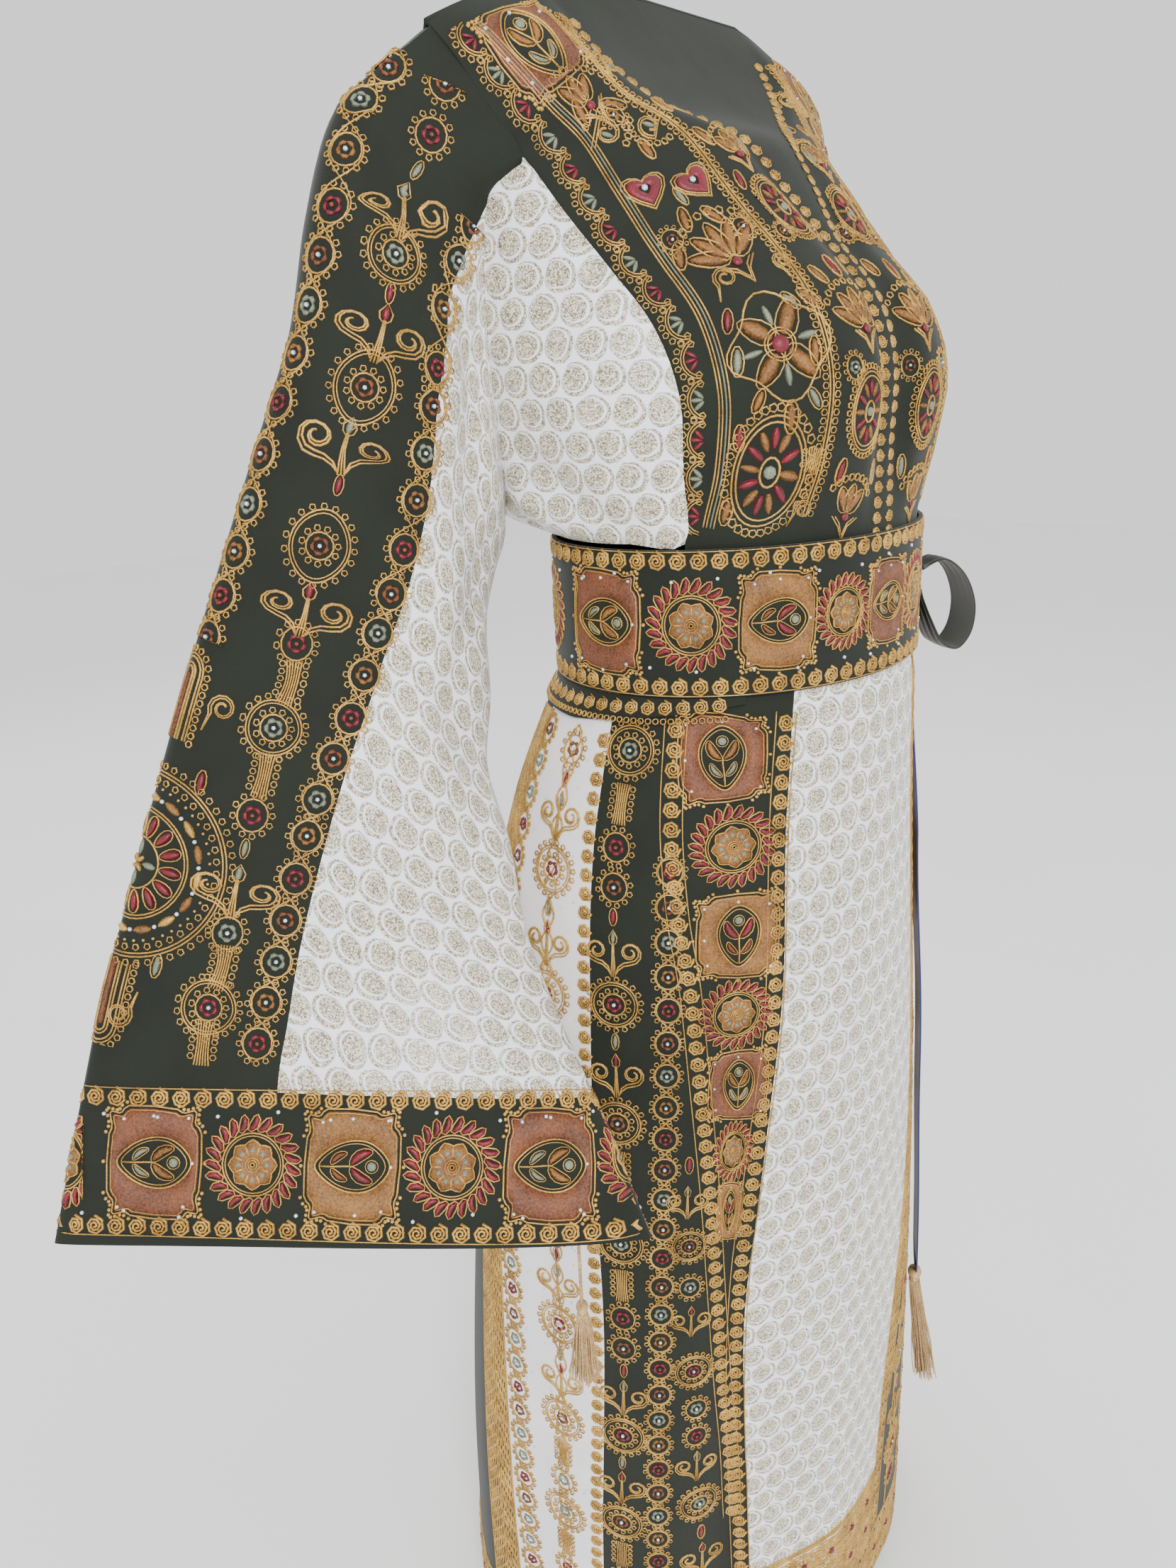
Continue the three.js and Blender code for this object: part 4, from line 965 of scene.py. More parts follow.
class Motif:
    """A flat drawing: corners, four-sided and three-sided faces for each thread colour."""

    def __init__(self):
        self.threads = {}

    def put(self, colour, corners, quads, tris):
        gather(self.threads, colour, corners, quads, tris)

    def joined(self):
        if not hasattr(self, "ready"):
            self.ready = {colour: tuple(np.concatenate(item) for item in store[:3])
                          for colour, store in self.threads.items()}
        return self.ready

    def ridge(self, colour, points, width=CORD, height=CORD_HEIGHT, closed=False):
        points = np.asarray(points, float)
        count = len(points)
        if closed:
            run = np.roll(points, -1, 0) - np.roll(points, 1, 0)
        else:
            run = np.gradient(points, axis=0)
        run = run / np.maximum(np.linalg.norm(run, axis=1, keepdims=True), 1e-9)
        left = np.stack([-run[:, 1], run[:, 0]], 1) * np.broadcast_to(width, count)[:, None] / 2
        level = np.full((count, 1), -SUNK)
        top = np.broadcast_to(height, count)[:, None]
        corners = np.stack([np.hstack([points - left, level]), np.hstack([points, top]),
                            np.hstack([points + left, level])], 1).reshape(-1, 3)
        k = np.arange(count * 3).reshape(count, 3)
        a, b = (k, np.roll(k, -1, 0)) if closed else (k[:-1], k[1:])
        quads = np.concatenate([
            np.stack([a[:, i], b[:, i], b[:, (i + 1) % 3], a[:, (i + 1) % 3]], 1)
            for i in range(3)])
        tris = [] if closed else [k[0], k[-1][::-1]]
        self.put(colour, corners, quads, tris)

    def petal(self, colour, at, angle, length, width, height=1.1, bend=0.0, steps=5):
        """A satin petal: a thick ridge, pointed at its ends and bent to one side."""
        share = np.linspace(0, 1, steps)
        side = bend * np.sin(math.pi * share) * length
        along = (share - 0.5) * length
        wide = width * np.sqrt(np.sin(math.pi * (0.06 + 0.88 * share)))
        self.ridge(colour, turned_to(at, angle, along, side), wide,
                   height * np.sin(math.pi * (0.1 + 0.8 * share)) ** 0.5)

    def ring(self, colour, at, radius, tall=1.0, width=CORD, height=CORD_HEIGHT, sides=16,
             wave=0.0, waves=0):
        turn = turns(sides)
        size = radius * (1 + wave * np.cos(waves * turn))
        self.ridge(colour, np.stack([at[0] + size * np.cos(turn), at[1] + tall * size * np.sin(turn)],
                                    1), width, height, closed=True)

    def loops(self, at, radius, tall=1.0, count=13, start=0.0, size=1.75, share=1.0):
        """A fringe of tiny loops round a ring, or round part of one."""
        for k in range(count):
            turn = start + share * 2 * math.pi * k / (count if share == 1 else count - 1)
            middle = (at[0] + radius * math.cos(turn), at[1] + tall * radius * math.sin(turn))
            self.ring("gold", middle, size, width=1.25, height=0.9, sides=5)

    def bead(self, colour, at, radius=1.2, height=1.1, sides=6):
        turn = turns(sides)
        low = np.stack([at[0] + radius * np.cos(turn), at[1] + radius * np.sin(turn),
                        -SUNK + 0 * turn], 1)
        mid = np.stack([at[0] + 0.8 * radius * np.cos(turn), at[1] + 0.8 * radius * np.sin(turn),
                        height * 0.75 + 0 * turn], 1)
        corners = np.vstack([low, mid, [[at[0], at[1], height]], [[at[0], at[1], -SUNK]]])
        k = np.arange(sides)
        nxt = (k + 1) % sides
        quads = np.stack([k, nxt, nxt + sides, k + sides], 1)
        tris = np.concatenate([np.stack([k + sides, nxt + sides, 0 * k + 2 * sides], 1),
                               np.stack([nxt, k, 0 * k + 2 * sides + 1], 1)])
        self.put(colour, corners, quads, tris)

    def sheet(self, colour, outer, inner, height=0.7):
        """A raised flat filling between two closed outlines with as many points each."""
        outer, inner = np.asarray(outer, float), np.asarray(inner, float)
        count = len(outer)
        rings = []
        for line, lift in ((outer, -SUNK), (outer, height), ((outer + inner) / 2, height + 0.15),
                           (inner, height), (inner, -SUNK)):
            rings.append(np.hstack([line, np.full((count, 1), lift)]))
        k = np.arange(count * 5).reshape(5, count)
        nxt = np.roll(k, -1, 1)
        quads = np.concatenate([np.stack([k[i], nxt[i], nxt[(i + 1) % 5], k[(i + 1) % 5]], 1)
                                for i in range(5)])
        self.put(colour, np.vstack(rings), quads, [])

    def add(self, other, at=(0, 0), angle=0.0, size=1.0, flip=False):
        c, s = math.cos(angle) * size, math.sin(angle) * size
        for colour, (corners, quads, tris) in other.joined().items():
            moved = corners.copy()
            u = -corners[:, 0] if flip else corners[:, 0]
            moved[:, 0] = at[0] + u * c - corners[:, 1] * s
            moved[:, 1] = at[1] + u * s + corners[:, 1] * c
            if flip:
                quads, tris = quads[:, ::-1], tris[:, ::-1]
            self.put(colour, moved, quads, tris)


# %% [markdown]
# ### The designs
#
# A few designs make the whole dress: a coiled disc, small flowers in a ring of loops, rosettes,
# scrolls, a bundle of cords, a sun and a square patch with a sprig.

# %% Disc, flowers and rosettes
DISC_RADIUS, DISC_EYE, DISC_TURNS, DISC_STEPS, DISC_CORD = 5.7, 0.7, 2.6, 18, 2.3
COIL = Motif()
disc_share = np.linspace(0, 1, DISC_STEPS)
disc_turn = np.linspace(0, DISC_TURNS, DISC_STEPS) * 2 * math.pi
disc_size = DISC_RADIUS - (DISC_RADIUS - DISC_EYE) * disc_share
COIL.ridge("gold", np.stack([disc_size * np.cos(disc_turn), disc_size * np.sin(disc_turn)], 1),
           DISC_CORD, 1.35 * (0.85 + 0.3 * disc_share))


def flower_motif(petals, heart, ring_size=8.6, tall=1.1, loops=12):
    made = Motif()
    for turn in turns(5, 0.25):
        made.petal(petals, polar(3.2, turn), turn + math.pi / 2, 4.6, 3.6, 1.5, bend=-0.22, steps=4)
    made.bead(heart, (0, 0), 1.5, 1.9, 5)
    made.ring("gold", (0, 0), ring_size, tall, sides=14)
    made.loops((0, 0), ring_size + 2.3, tall, loops, start=0.3)
    return made


def rosette_motif(petals, heart, wide=15.5, tall=1.0, drop=0.0):
    made = Motif()
    made.add(flower_motif(petals, heart, 7.6, 1.0, 11))
    turn = turns(28)
    for size, cord in ((wide, 1.5), (wide - 1.7, 1.1)):
        line = np.stack([size * np.cos(turn), size * tall * np.sin(turn)
                         * (1 + drop * np.abs(np.sin(turn)) ** 3)], 1)
        made.ridge("gold", line, cord, CORD_HEIGHT, closed=True)
    made.loops((0, 0), wide + 2.4, tall * (1 + drop * 0.4), 19, start=0.2)
    return made


FLOWERS = {
    "crimson": flower_motif("crimson", "rose"), "grey": flower_motif("grey", "sequin"),
    "rose": flower_motif("rose", "sequin"), "peach": flower_motif("tan", "sequin"),
}
ROSETTES = {
    "grey": rosette_motif("grey", "sequin"), "rose": rosette_motif("rose", "sequin"),
    "crimson": rosette_motif("crimson", "sequin"),
    "tall": rosette_motif("rose", "sequin", 16.5, 1.1, 0.12),
}


# %% Scrolls, leaves and bundles
def spiral(at, radius, rounds, start, way):
    turn = np.linspace(0, rounds, int(10 * rounds) + 3) * 2 * math.pi
    size = radius * (1 - 0.72 * turn / turn[-1])
    return np.stack([at[0] + size * np.cos(start + way * turn),
                     at[1] + size * np.sin(start + way * turn)], 1)


def scroll_pair_motif(leaf):
    """Two curls that spring from a stem, with a leaf on top."""
    made = Motif()
    for side in (-1, 1):
        for size, low in ((8.2, 0), (6.6, -0.6)):
            curl = spiral((side * 11, low), size, 1.45, math.pi / 2, -side)
            stem = np.array([[side * 1.2, 16], [side * 3.4, low + size + 4], [side * 7, low + size + 1]])
            made.ridge("gold", np.vstack([stem, curl]), 1.5)
    for u in (-1.3, 0, 1.3):
        made.ridge("gold", [(u, 17), (u * 0.8, 10), (u * 0.5, 3), (u * 0.3, -6)], 1.15)
    made.petal(leaf, (0, -9.5), math.pi / 2, 8, 3.6, 1.4)
    made.ridge("gold", [(0, -15), (2.7, -10), (2.2, -6.5), (0, -4), (-2.2, -6.5), (-2.7, -10)],
               1.0, closed=True)
    return made


BUNDLE_CORDS = 6


def bundle_motif(length=26, wide=8.5):
    made = Motif()
    share = np.linspace(-1, 1, 8)
    for k in range(BUNDLE_CORDS):
        u = (k / (BUNDLE_CORDS - 1) - 0.5) * wide
        made.ridge("gold", np.stack([u * (0.75 + 0.25 * share ** 2), share * length / 2], 1), 1.4)
    for side in (-1, 1):
        for k in range(int(length / 4.6)):
            v = -length / 2 + 2.6 + 4.6 * k
            made.ring("gold", (side * (wide / 2 + 2.2), v), 1.75, width=1.2, height=0.9, sides=6)
    return made


def leaf_motif(colour):
    length, width = 9, 4.2
    made = Motif()
    made.petal(colour, (0, 0), math.pi / 2, length, width, 1.4)
    made.ridge("gold", oval_line(0.62 * width, 0.66 * length, 10), 1.0, closed=True)
    return made


BUNDLE, SHORT_BUNDLE = bundle_motif(), bundle_motif(16, 9)
SCROLLS = {colour: scroll_pair_motif(colour) for colour in ("crimson", "grey")}
LEAVES = {colour: leaf_motif(colour) for colour in ("crimson", "grey", "tan")}


# %% [markdown]
# The sun has curved crimson petals like commas, each edged with gold, round a filled gold flower.
# The patch is a woven square with a wavy edge of two cords and picots. Its middle is left open in
# the shape of a pointed arch, where a sprig with two leaves and two petals stands.

# %% Sun
SUN_PETALS = 23


def sun_motif():
    made = Motif()
    edge = np.linspace(0, 2 * math.pi, 8)[:-1]
    edge_u, edge_v = 5.6 * np.cos(edge), 2.7 * np.sin(edge) + 1.2 - np.cos(edge) ** 2
    for turn in turns(SUN_PETALS):
        at, tilt = polar(24.0, turn), turn + 0.5
        made.petal("crimson", at, tilt, 9.4, 4.4, 1.5, bend=0.2)
        made.ridge("gold", turned_to(at, tilt, edge_u, edge_v), 1.3, 1.0, closed=True)
    made.ring("gold", (0, 0), 18.0, width=1.5, sides=32)
    made.ring("gold", (0, 0), 16.4, width=1.1, sides=32)
    turn = turns(32)
    lobed = 13.2 * (1 + 0.09 * np.cos(8 * turn))
    outline = np.stack([lobed * np.cos(turn), lobed * np.sin(turn)], 1)
    made.sheet("tan", outline, outline * 0.12, 0.9)
    made.ridge("gold", outline, 1.3, 1.5, closed=True)
    for turn in turns(8, 0.5):
        made.petal("gold", polar(8.6, turn), turn, 6.5, 2.2, 1.9)
    for turn in turns(8):
        made.bead("grey", polar(8.3, turn), 1.9, 1.7)
    for k in range(3):
        made.ring("gold", (0, 0), 1.2 + 1.5 * k, width=1.2, height=2.0 - 0.2 * k, sides=10)
    return made


# %% Patch
def sprig_motif(petals, leaves):
    """A sprig that points up: stem, two leaves, two petals and a round bud."""
    made = Motif()
    made.ridge("gold", [(0, 21), (0.2, 12), (-0.2, 4), (0, -2)], 1.7)
    for side in (-1, 1):
        for colour, at, tilt, length, width in (
                (leaves, (side * 5.4, 8.2), 0.95, 11, 4.2), (petals, (side * 5.6, -6.5), 1.0, 15, 6.2)):
            angle = -math.pi / 2 + side * (math.pi / 2 - tilt)
            made.petal(colour, at, angle, length, width, 1.5, bend=side * 0.12)
            along, over = oval_line(0.6 * length, 0.62 * width, 12).T
            over = over + side * 0.12 * length * np.sin(math.pi * (0.5 + 0.5 * np.cos(turns(12))))
            made.ridge("gold", turned_to(at, angle, along, over), 1.0, 1.1, closed=True)
    made.bead("grey", (0, -13.5), 3.4, 1.4, 9)
    made.ring("gold", (0, -13.5), 4.3, width=0.9, sides=12)
    return made


PATCH_BEADS, PATCH_WAVE, PATCH_SQUARE = 48, 0.056, 0.32


def patch_motif(cloth_colour, petals, leaves, wide=27.0, high=28.0):
    made = Motif()
    turn = turns(PATCH_BEADS)

    def square(half_u, half_v):
        line = np.stack([half * np.sign(part) * np.abs(part) ** PATCH_SQUARE
                         for half, part in ((half_u, np.cos(turn)), (half_v, np.sin(turn)))], 1)
        return line * (1 + PATCH_WAVE * np.cos(8 * turn + 0.6))[:, None]

    up = -np.sin(turn)
    arch = np.stack([14.6 * np.cos(turn) * (1 + 0.14 * up),
                     -19.0 * up - 2.4 * np.abs(up) ** 9 * np.sign(up)], 1)
    made.sheet(cloth_colour, square(wide - 1.5, high - 1.5), arch * 1.02, 0.55)
    made.ridge("gold", square(wide, high), 1.5, 1.1, closed=True)
    made.ridge("gold", square(wide - 2.3, high - 2.3), 1.0, 1.1, closed=True)
    made.ridge("gold", arch, 1.6, 1.2, closed=True)
    made.ridge("gold", arch * 0.88, 0.9, 0.9, closed=True)
    for at in square(wide + 1.9, high + 1.9):
        made.bead("gold", at, 1.3, 1.1, 5)
    made.add(sprig_motif(petals, leaves), (0, 0.5), size=0.86)
    for at in ((-wide + 5, -high + 6), (wide - 6, -high + 9), (-wide + 6, high - 9),
               (wide - 5, high - 5), (0, -high + 4), (-wide + 4, 0)):
        made.bead("sequin", at, 1.2, 1.6)
    return made


SUN = sun_motif()
PATCHES = {"rose": patch_motif("rose", "tan", "grey"), "tan": patch_motif("tan", "crimson", "rose")}
BAND_PATCHES = {"rose": patch_motif("rose", "tan", "grey", 31.0, 26.0),
                "tan": patch_motif("tan", "crimson", "rose", 31.0, 26.0)}
for name, motif in (("coil", COIL), ("flower", FLOWERS["grey"]), ("rosette", ROSETTES["grey"]),
                    ("sun", SUN), ("patch", PATCHES["tan"])):
    print(name, sum(2 * len(q) + len(t) for _, q, t in motif.joined().values()), "triangles")

# %% [markdown]
# ### Lanes on the cloth
#
# A lane is a line drawn on a panel with a strip of cloth on both sides. Its grid is walked out in
# small steps square to the line, so that a drawing keeps its size even where the panel bends or
# narrows. On the wearer's left the same drawings are mirrored.

# %% Lane
LANE_STEP = 2.0
SEWN = {}


class Lane:
    def __init__(self, surface, path, half=20, outward=1, mirrored=False):
        path = np.array(path, float)
        a, b = even_curve(path, 60 * len(path)).T if len(path) > 2 else np.linspace(
            path[0], path[1], 300).T
        points = surface(a, b)
        run = np.concatenate([[0], np.cumsum(np.linalg.norm(np.diff(points, axis=0), axis=1))]) / MM
        self.length = run[-1]
        s = np.linspace(0, self.length, max(int(self.length / LANE_STEP), 4))
        self.step = s[1]
        self.a, self.b = np.interp(s, run, a), np.interp(s, run, b)
        self.mirrored, self.surface, self.outward = mirrored, surface, outward
        self.run = unit(np.gradient(surface(self.a, self.b), axis=0))
        self.count = int(math.ceil(half / LANE_STEP)) + 1
        columns = {0: (self.a, self.b)}
        for way in (-1, 1):
            at = np.stack([self.a, self.b], -1)
            for k in range(1, self.count + 1):
                half_way = at + 0.5 * self.move(at, way)
                at = at + self.move(half_way, way)
                columns[way * k] = (at[:, 0], at[:, 1])
        order = sorted(columns)
        grid_a = np.stack([columns[k][0] for k in order], 1)
        grid_b = np.stack([columns[k][1] for k in order], 1)
        self.points = surface(grid_a, grid_b)
        self.normals = self.slopes(grid_a, grid_b)[2]

    def slopes(self, a, b):
        e = 1e-3
        by_a = (self.surface(a + e, b) - self.surface(a - e, b)) / (2 * e)
        by_b = (self.surface(a, b + e) - self.surface(a, b - e)) / (2 * e)
        return by_a, by_b, unit(np.cross(by_a, by_b)) * self.outward

    def move(self, at, way):
        """Change of both parameters for one step square to the line."""
        by_a, by_b, normal = self.slopes(at[:, 0], at[:, 1])
        side = unit(np.cross(normal, self.run)) * way * LANE_STEP * MM
        if self.mirrored:
            side = -side
        aa, bb, ab = (by_a * by_a).sum(1), (by_b * by_b).sum(1), (by_a * by_b).sum(1)
        pa, pb = (by_a * side).sum(1), (by_b * side).sum(1)
        size = np.maximum(aa * bb - ab * ab, 1e-16)
        return np.stack([(pa * bb - pb * ab) / size, (pb * aa - pa * ab) / size], -1)

    def at(self, value, column="a"):
        """Distance along the lane where a parameter has a value."""
        places = getattr(self, column)
        order = np.argsort(places)
        return float(np.interp(value, places[order], np.arange(len(places))[order] * self.step))

    def sew(self, region, motif, s, c=0.0, angle=0.0, size=1.0, wide=1.0, tall=1.0, flip=False):
        sine, cosine = math.sin(angle) * size, math.cos(angle) * size
        rows, cols = self.points.shape[:2]
        for colour, (corners, quads, tris) in motif.joined().items():
            u = (corners[:, 0] * cosine - corners[:, 1] * sine) * wide * (-1 if flip else 1)
            v = (corners[:, 0] * sine + corners[:, 1] * cosine) * tall
            i = np.clip((s + v) / self.step, 0, rows - 1.001)
            j = np.clip((c + u) / LANE_STEP + self.count, 0, cols - 1.001)
            i0, j0 = i.astype(int), j.astype(int)
            p, q = (i - i0)[:, None], (j - j0)[:, None]
            blend = lambda grid: ((grid[i0, j0] * (1 - q) + grid[i0, j0 + 1] * q) * (1 - p)
                                  + (grid[i0 + 1, j0] * (1 - q) + grid[i0 + 1, j0 + 1] * q) * p)
            placed = blend(self.points) + blend(self.normals) * corners[:, 2:] * MM
            if self.mirrored == flip:
                quads, tris = quads[:, ::-1], tris[:, ::-1]
            gather(SEWN, (region, colour), placed, quads, tris)

    def cord(self, region, c, start=0.0, end=None, colour="gold", width=CORD, height=CORD_HEIGHT,
             gap=2.5, wave=0.0, pitch=8.0):
        """A cord along the lane at a distance c from its line, straight or in waves."""
        end = self.length if end is None else end
        s = spaced(start, end, gap)
        line = Motif()
        line.ridge(colour, np.stack([c + wave * np.sin(s / pitch * 2 * math.pi), s], 1), width, height)
        self.sew(region, line, 0)

    def cords(self, region, places, *span, **how):
        for c in places:
            self.cord(region, c, *span, **how)

    def row(self, region, motif, pitch, c=0.0, start=0.0, end=None, **how):
        """The same motif again and again along the lane."""
        end = self.length if end is None else end
        count = max(int(round((end - start) / pitch)), 1)
        for k in range(count):
            self.sew(region, motif, start + (end - start) * (k + 0.5) / count, c, **how)


# %% [markdown]
# ### Belt and cuffs
#
# All three bands carry the same design: a chain of coiled discs on both edges and between them
# suns and patches by turns, with a few sequins scattered.

# %% Bands
DISC_PITCH, DISC_FROM_EDGE, SEQUIN_PITCH = 12.4, 6.4, 16
BELT_HALF, CUFF_HALF, CUFF_SUN, CUFF_MOTIFS = 44.5, 43.5, 5.5, 12


def sew_band(region, lane, start, end, motifs, half):
    for c in (half - DISC_FROM_EDGE, DISC_FROM_EDGE - half):
        lane.row(region, COIL, DISC_PITCH, c, start, end)
        lane.cord(region, c + math.copysign(5.4, c), start, end, width=1.0, gap=3)
    for k, (kind, s, size) in enumerate(motifs):
        if kind == "sun":
            lane.sew(region, SUN, s, angle=k, size=size, tall=0.97)
        else:
            lane.sew(region, BAND_PATCHES[kind], s, angle=math.pi, size=size)
    sequins = np.random.default_rng(5)
    for k in range(int((end - start) / SEQUIN_PITCH)):
        dot = Motif()
        dot.bead("sequin", (0, 0), 1.3, 1.3)
        side = 1 if k % 2 else -1
        s = start + (k + sequins.uniform(0.2, 0.8)) * SEQUIN_PITCH
        lane.sew(region, dot, min(s, end), side * sequins.uniform(26, 31))


belt_lane = Lane(belt_surface, [(190, 366.5), (0, 366.5), (-190, 366.5)], BELT_HALF)
belt_places = [("sun", 124), ("rose", 89), ("sun", 60.3), ("tan", 36), ("sun", 16.0), ("rose", -2),
               ("sun", -20), ("tan", -40), ("sun", -64), ("rose", -92), ("sun", -120),
               ("tan", -148), ("sun", -175), ("tan", 155)]
belt_motifs = []
for kind, angle in belt_places:
    size = 0.84 if abs(angle - 2) < 22 else 0.93 if abs(angle) < 50 else 1.0
    belt_motifs.append((kind, belt_lane.at(angle), size))
sew_band("bands", belt_lane, belt_lane.at(180), belt_lane.at(-180), belt_motifs, BELT_HALF)
kinds = ["sun", "tan", "sun", "rose"]
for side, sleeve, outward in SIDES:
    lane = Lane(sleeve, [(10.5, step) for step in (-1.5, 7, 14, 21, 29.5)], CUFF_HALF, outward,
                side == "left")
    start, end = lane.at(0, "b"), lane.at(STITCHES, "b")
    pitch = (end - start) / CUFF_MOTIFS
    first = (lane.at(CUFF_SUN, "b") - start) % (2 * pitch)
    motifs = [(kinds[k % 4], start + (first + k * pitch) % (end - start), 1.0)
              for k in range(CUFF_MOTIFS)]
    sew_band("bands", lane, start, end, motifs, CUFF_HALF)
    print(side, "cuff", round(end - start), "mm round")

# %% Underlap below the belt
lap_lane = Lane(lambda a, b: ring(a, b, UNDERLAP_STAND),
                [(295, 420), (240, 420), (180, 420), (120, 420), (75, 418), (50, 416)], 14)
lap_lane.row("bands", COIL, DISC_PITCH * 0.9, 0, size=0.86)
fringe = Motif()
fringe.ring("gold", (0, 0), 1.7, width=1.0, sides=8)
lap_lane.row("bands", fringe, 4.6, -8.4)

# %% [markdown]
# ### Skirt
#
# Columns run down each side panel: suns and patches between two chains of coiled discs, a line of
# small flowers, and a column of rosettes, scrolls and bundles. The wearer's left has the mirrored
# columns, measured from its own front seam.

# %% Order of the columns
DESIGNS = {"flower": FLOWERS, "rosette": ROSETTES, "scroll": SCROLLS, "leaf": LEAVES,
           "bundle": {"gold": BUNDLE}}
HEIGHTS = {"flower": 25, "rosette": 38, "scroll": 33, "leaf": 12, "bundle": 28}
COLUMN = ["rosette grey", "bundle gold", "flower crimson", "flower rose", "leaf crimson",
          "scroll grey", "rosette crimson", "leaf grey", "scroll crimson", "rosette rose",
          "bundle gold", "flower grey"]


def sew_column(region, lane, s, k=0):
    """Designs one below the other from a place s, as many as the lane holds."""
    while True:
        kind, colour = COLUMN[k % len(COLUMN)].split()
        if s + HEIGHTS[kind] > lane.length:
            break
        lane.sew(region, DESIGNS[kind][colour], s + HEIGHTS[kind] / 2)
        s, k = s + HEIGHTS[kind] + 1, k + 1


def sew_linked(region, lane, places, colours, size=1.0):
    """Flowers at given places; two cords cross between each two of them."""
    places = np.array(places, float)
    half = (places[1] - places[0]) / 2
    between = np.concatenate([[places[0] - half], (places[1:] + places[:-1]) / 2,
                              [places[-1] + half]])
    s = spaced(between[0], between[-1], 3.4)
    swing = 9.6 * size * np.sin(np.interp(s, between, np.arange(len(between))) * math.pi)
    for side in (-1, 1):
        cord = Motif()
        cord.ridge("gold", np.stack([side * swing, s], 1), 1.2)
        lane.sew(region, cord, 0)
    for k, place in enumerate(places):
        lane.sew(region, FLOWERS[colours[k % len(colours)]], place, size=size)


def sew_flowers(region, lane, pitch, colours, size=1.0):
    count = int(round(lane.length / pitch))
    sew_linked(region, lane, (np.arange(count) + 0.5) / count * lane.length, colours, size)


def sew_chain(region, path, mirrored):
    lane = Lane(ring, path, 9, 1, mirrored)
    lane.row(region, COIL, DISC_PITCH)
    lane.cords(region, (-6.9, 6.9), width=1.1, gap=3.5)


# %% Side panels
def seam(name, down):
    return float(smooth(SEAMS, "down", name, np.float64(down)))


def mirrored_from_front(rows):
    return [(seam("frontLeft", d) - (a - seam("front", d)), d) for a, d in rows]


DOWNS = (520, 620, 720, 820, 920, 1020, 1110, 1184)
PATCH_COLUMN = [  # angle, down, kind, wide, tall
    (48.2, 447.5, "rose", 1.0, 0.95), (41.4, 503, "sun", 1.0, 0.95), (38.2, 562.5, "tan", 1.0, 1.0),
    (38, 617, "sun", 0.88, 0.9), (37, 669, "rose", 0.74, 0.9), (38, 719, "sun", 0.5, 0.85),
    (38.6, 766, "tan", 0.33, 0.8),
]
OUTER_CHAIN = [(63.5, 424), (58.6, 480), (52.9, 550), (48.8, 600), (45.6, 675), (42.9, 757),
               (41.5, 816), (39.3, 910), (37.2, 980), (36.0, 1050)]
LOWER = [  # angle, down, kind, colour, size
    (48, 724, "leaf", "crimson", 1.1), (48.2, 752, "scroll", "grey", 0.8),
    (47.6, 788, "rosette", "rose", 0.75), (47.2, 822, "flower", "grey", 0.85),
    (46.8, 850, "scroll", "crimson", 0.8), (46, 895, "rosette", "crimson", 0.85),
    (45.2, 930, "flower", "grey", 0.9), (45, 956, "flower", "crimson", 0.9),
    (44.8, 984, "scroll", "grey", 0.9), (44, 1024, "rosette", "grey", 0.95),
    (43.5, 1054, "leaf", "crimson", 1.2), (43.2, 1081, "scroll", "crimson", 1.0),
    (43, 1120, "rosette", "rose", 1.0), (43, 1155, "flower", "crimson", 1.0),
]


def sew_side_front(region, place, mirrored):
    sew_chain(region, place([(seam("front", d) + 1.9, d) for d in (424, *DOWNS)]), mirrored)
    sew_chain(region, place(OUTER_CHAIN), mirrored)
    path = [(51.5, 414)] + [(a, d) for a, d, *_ in PATCH_COLUMN] + [(39, 810)]
    patches = Lane(ring, place(path), 34, 1, mirrored)
    for _, down, kind, wide, tall in PATCH_COLUMN:
        motif = SUN if kind == "sun" else PATCHES[kind]
        patches.sew(region, motif, patches.at(down, "b"), wide=wide, tall=tall * 0.98)
    small = [(56.7, 505), (54.5, 580), (53.6, 647), (53.5, 900), (53, 1182)]
    sew_flowers(region, Lane(ring, place(small), 14, 1, mirrored), 23.5,
                ["crimson", "rose", "grey", "peach"], size=0.9)
    for angle, down, kind, colour, size in LOWER:
        spot = Lane(ring, place([(angle, down - 25), (angle, down + 25)]), 20, 1, mirrored)
        spot.sew(region, DESIGNS[kind][colour], 25, size=size)
    scrolls = [(76, 424), (71.4, 505), (67.2, 600), (65.0, 680), (62.2, 848), (61.6, 924),
               (61.6, 1042), (61.4, 1184)]
    lane = Lane(ring, place(scrolls), 20, 1, mirrored)
    sew_column(region, lane, 2)


sew_side_front("skirt_right", lambda rows: rows, False)
sew_side_front("skirt_left", mirrored_from_front, True)


# %% [markdown]
# The white side panels have lighter work: a coiled edge in front, a middle column and a line of
# flowers behind. A dense leaf band follows on the green back.

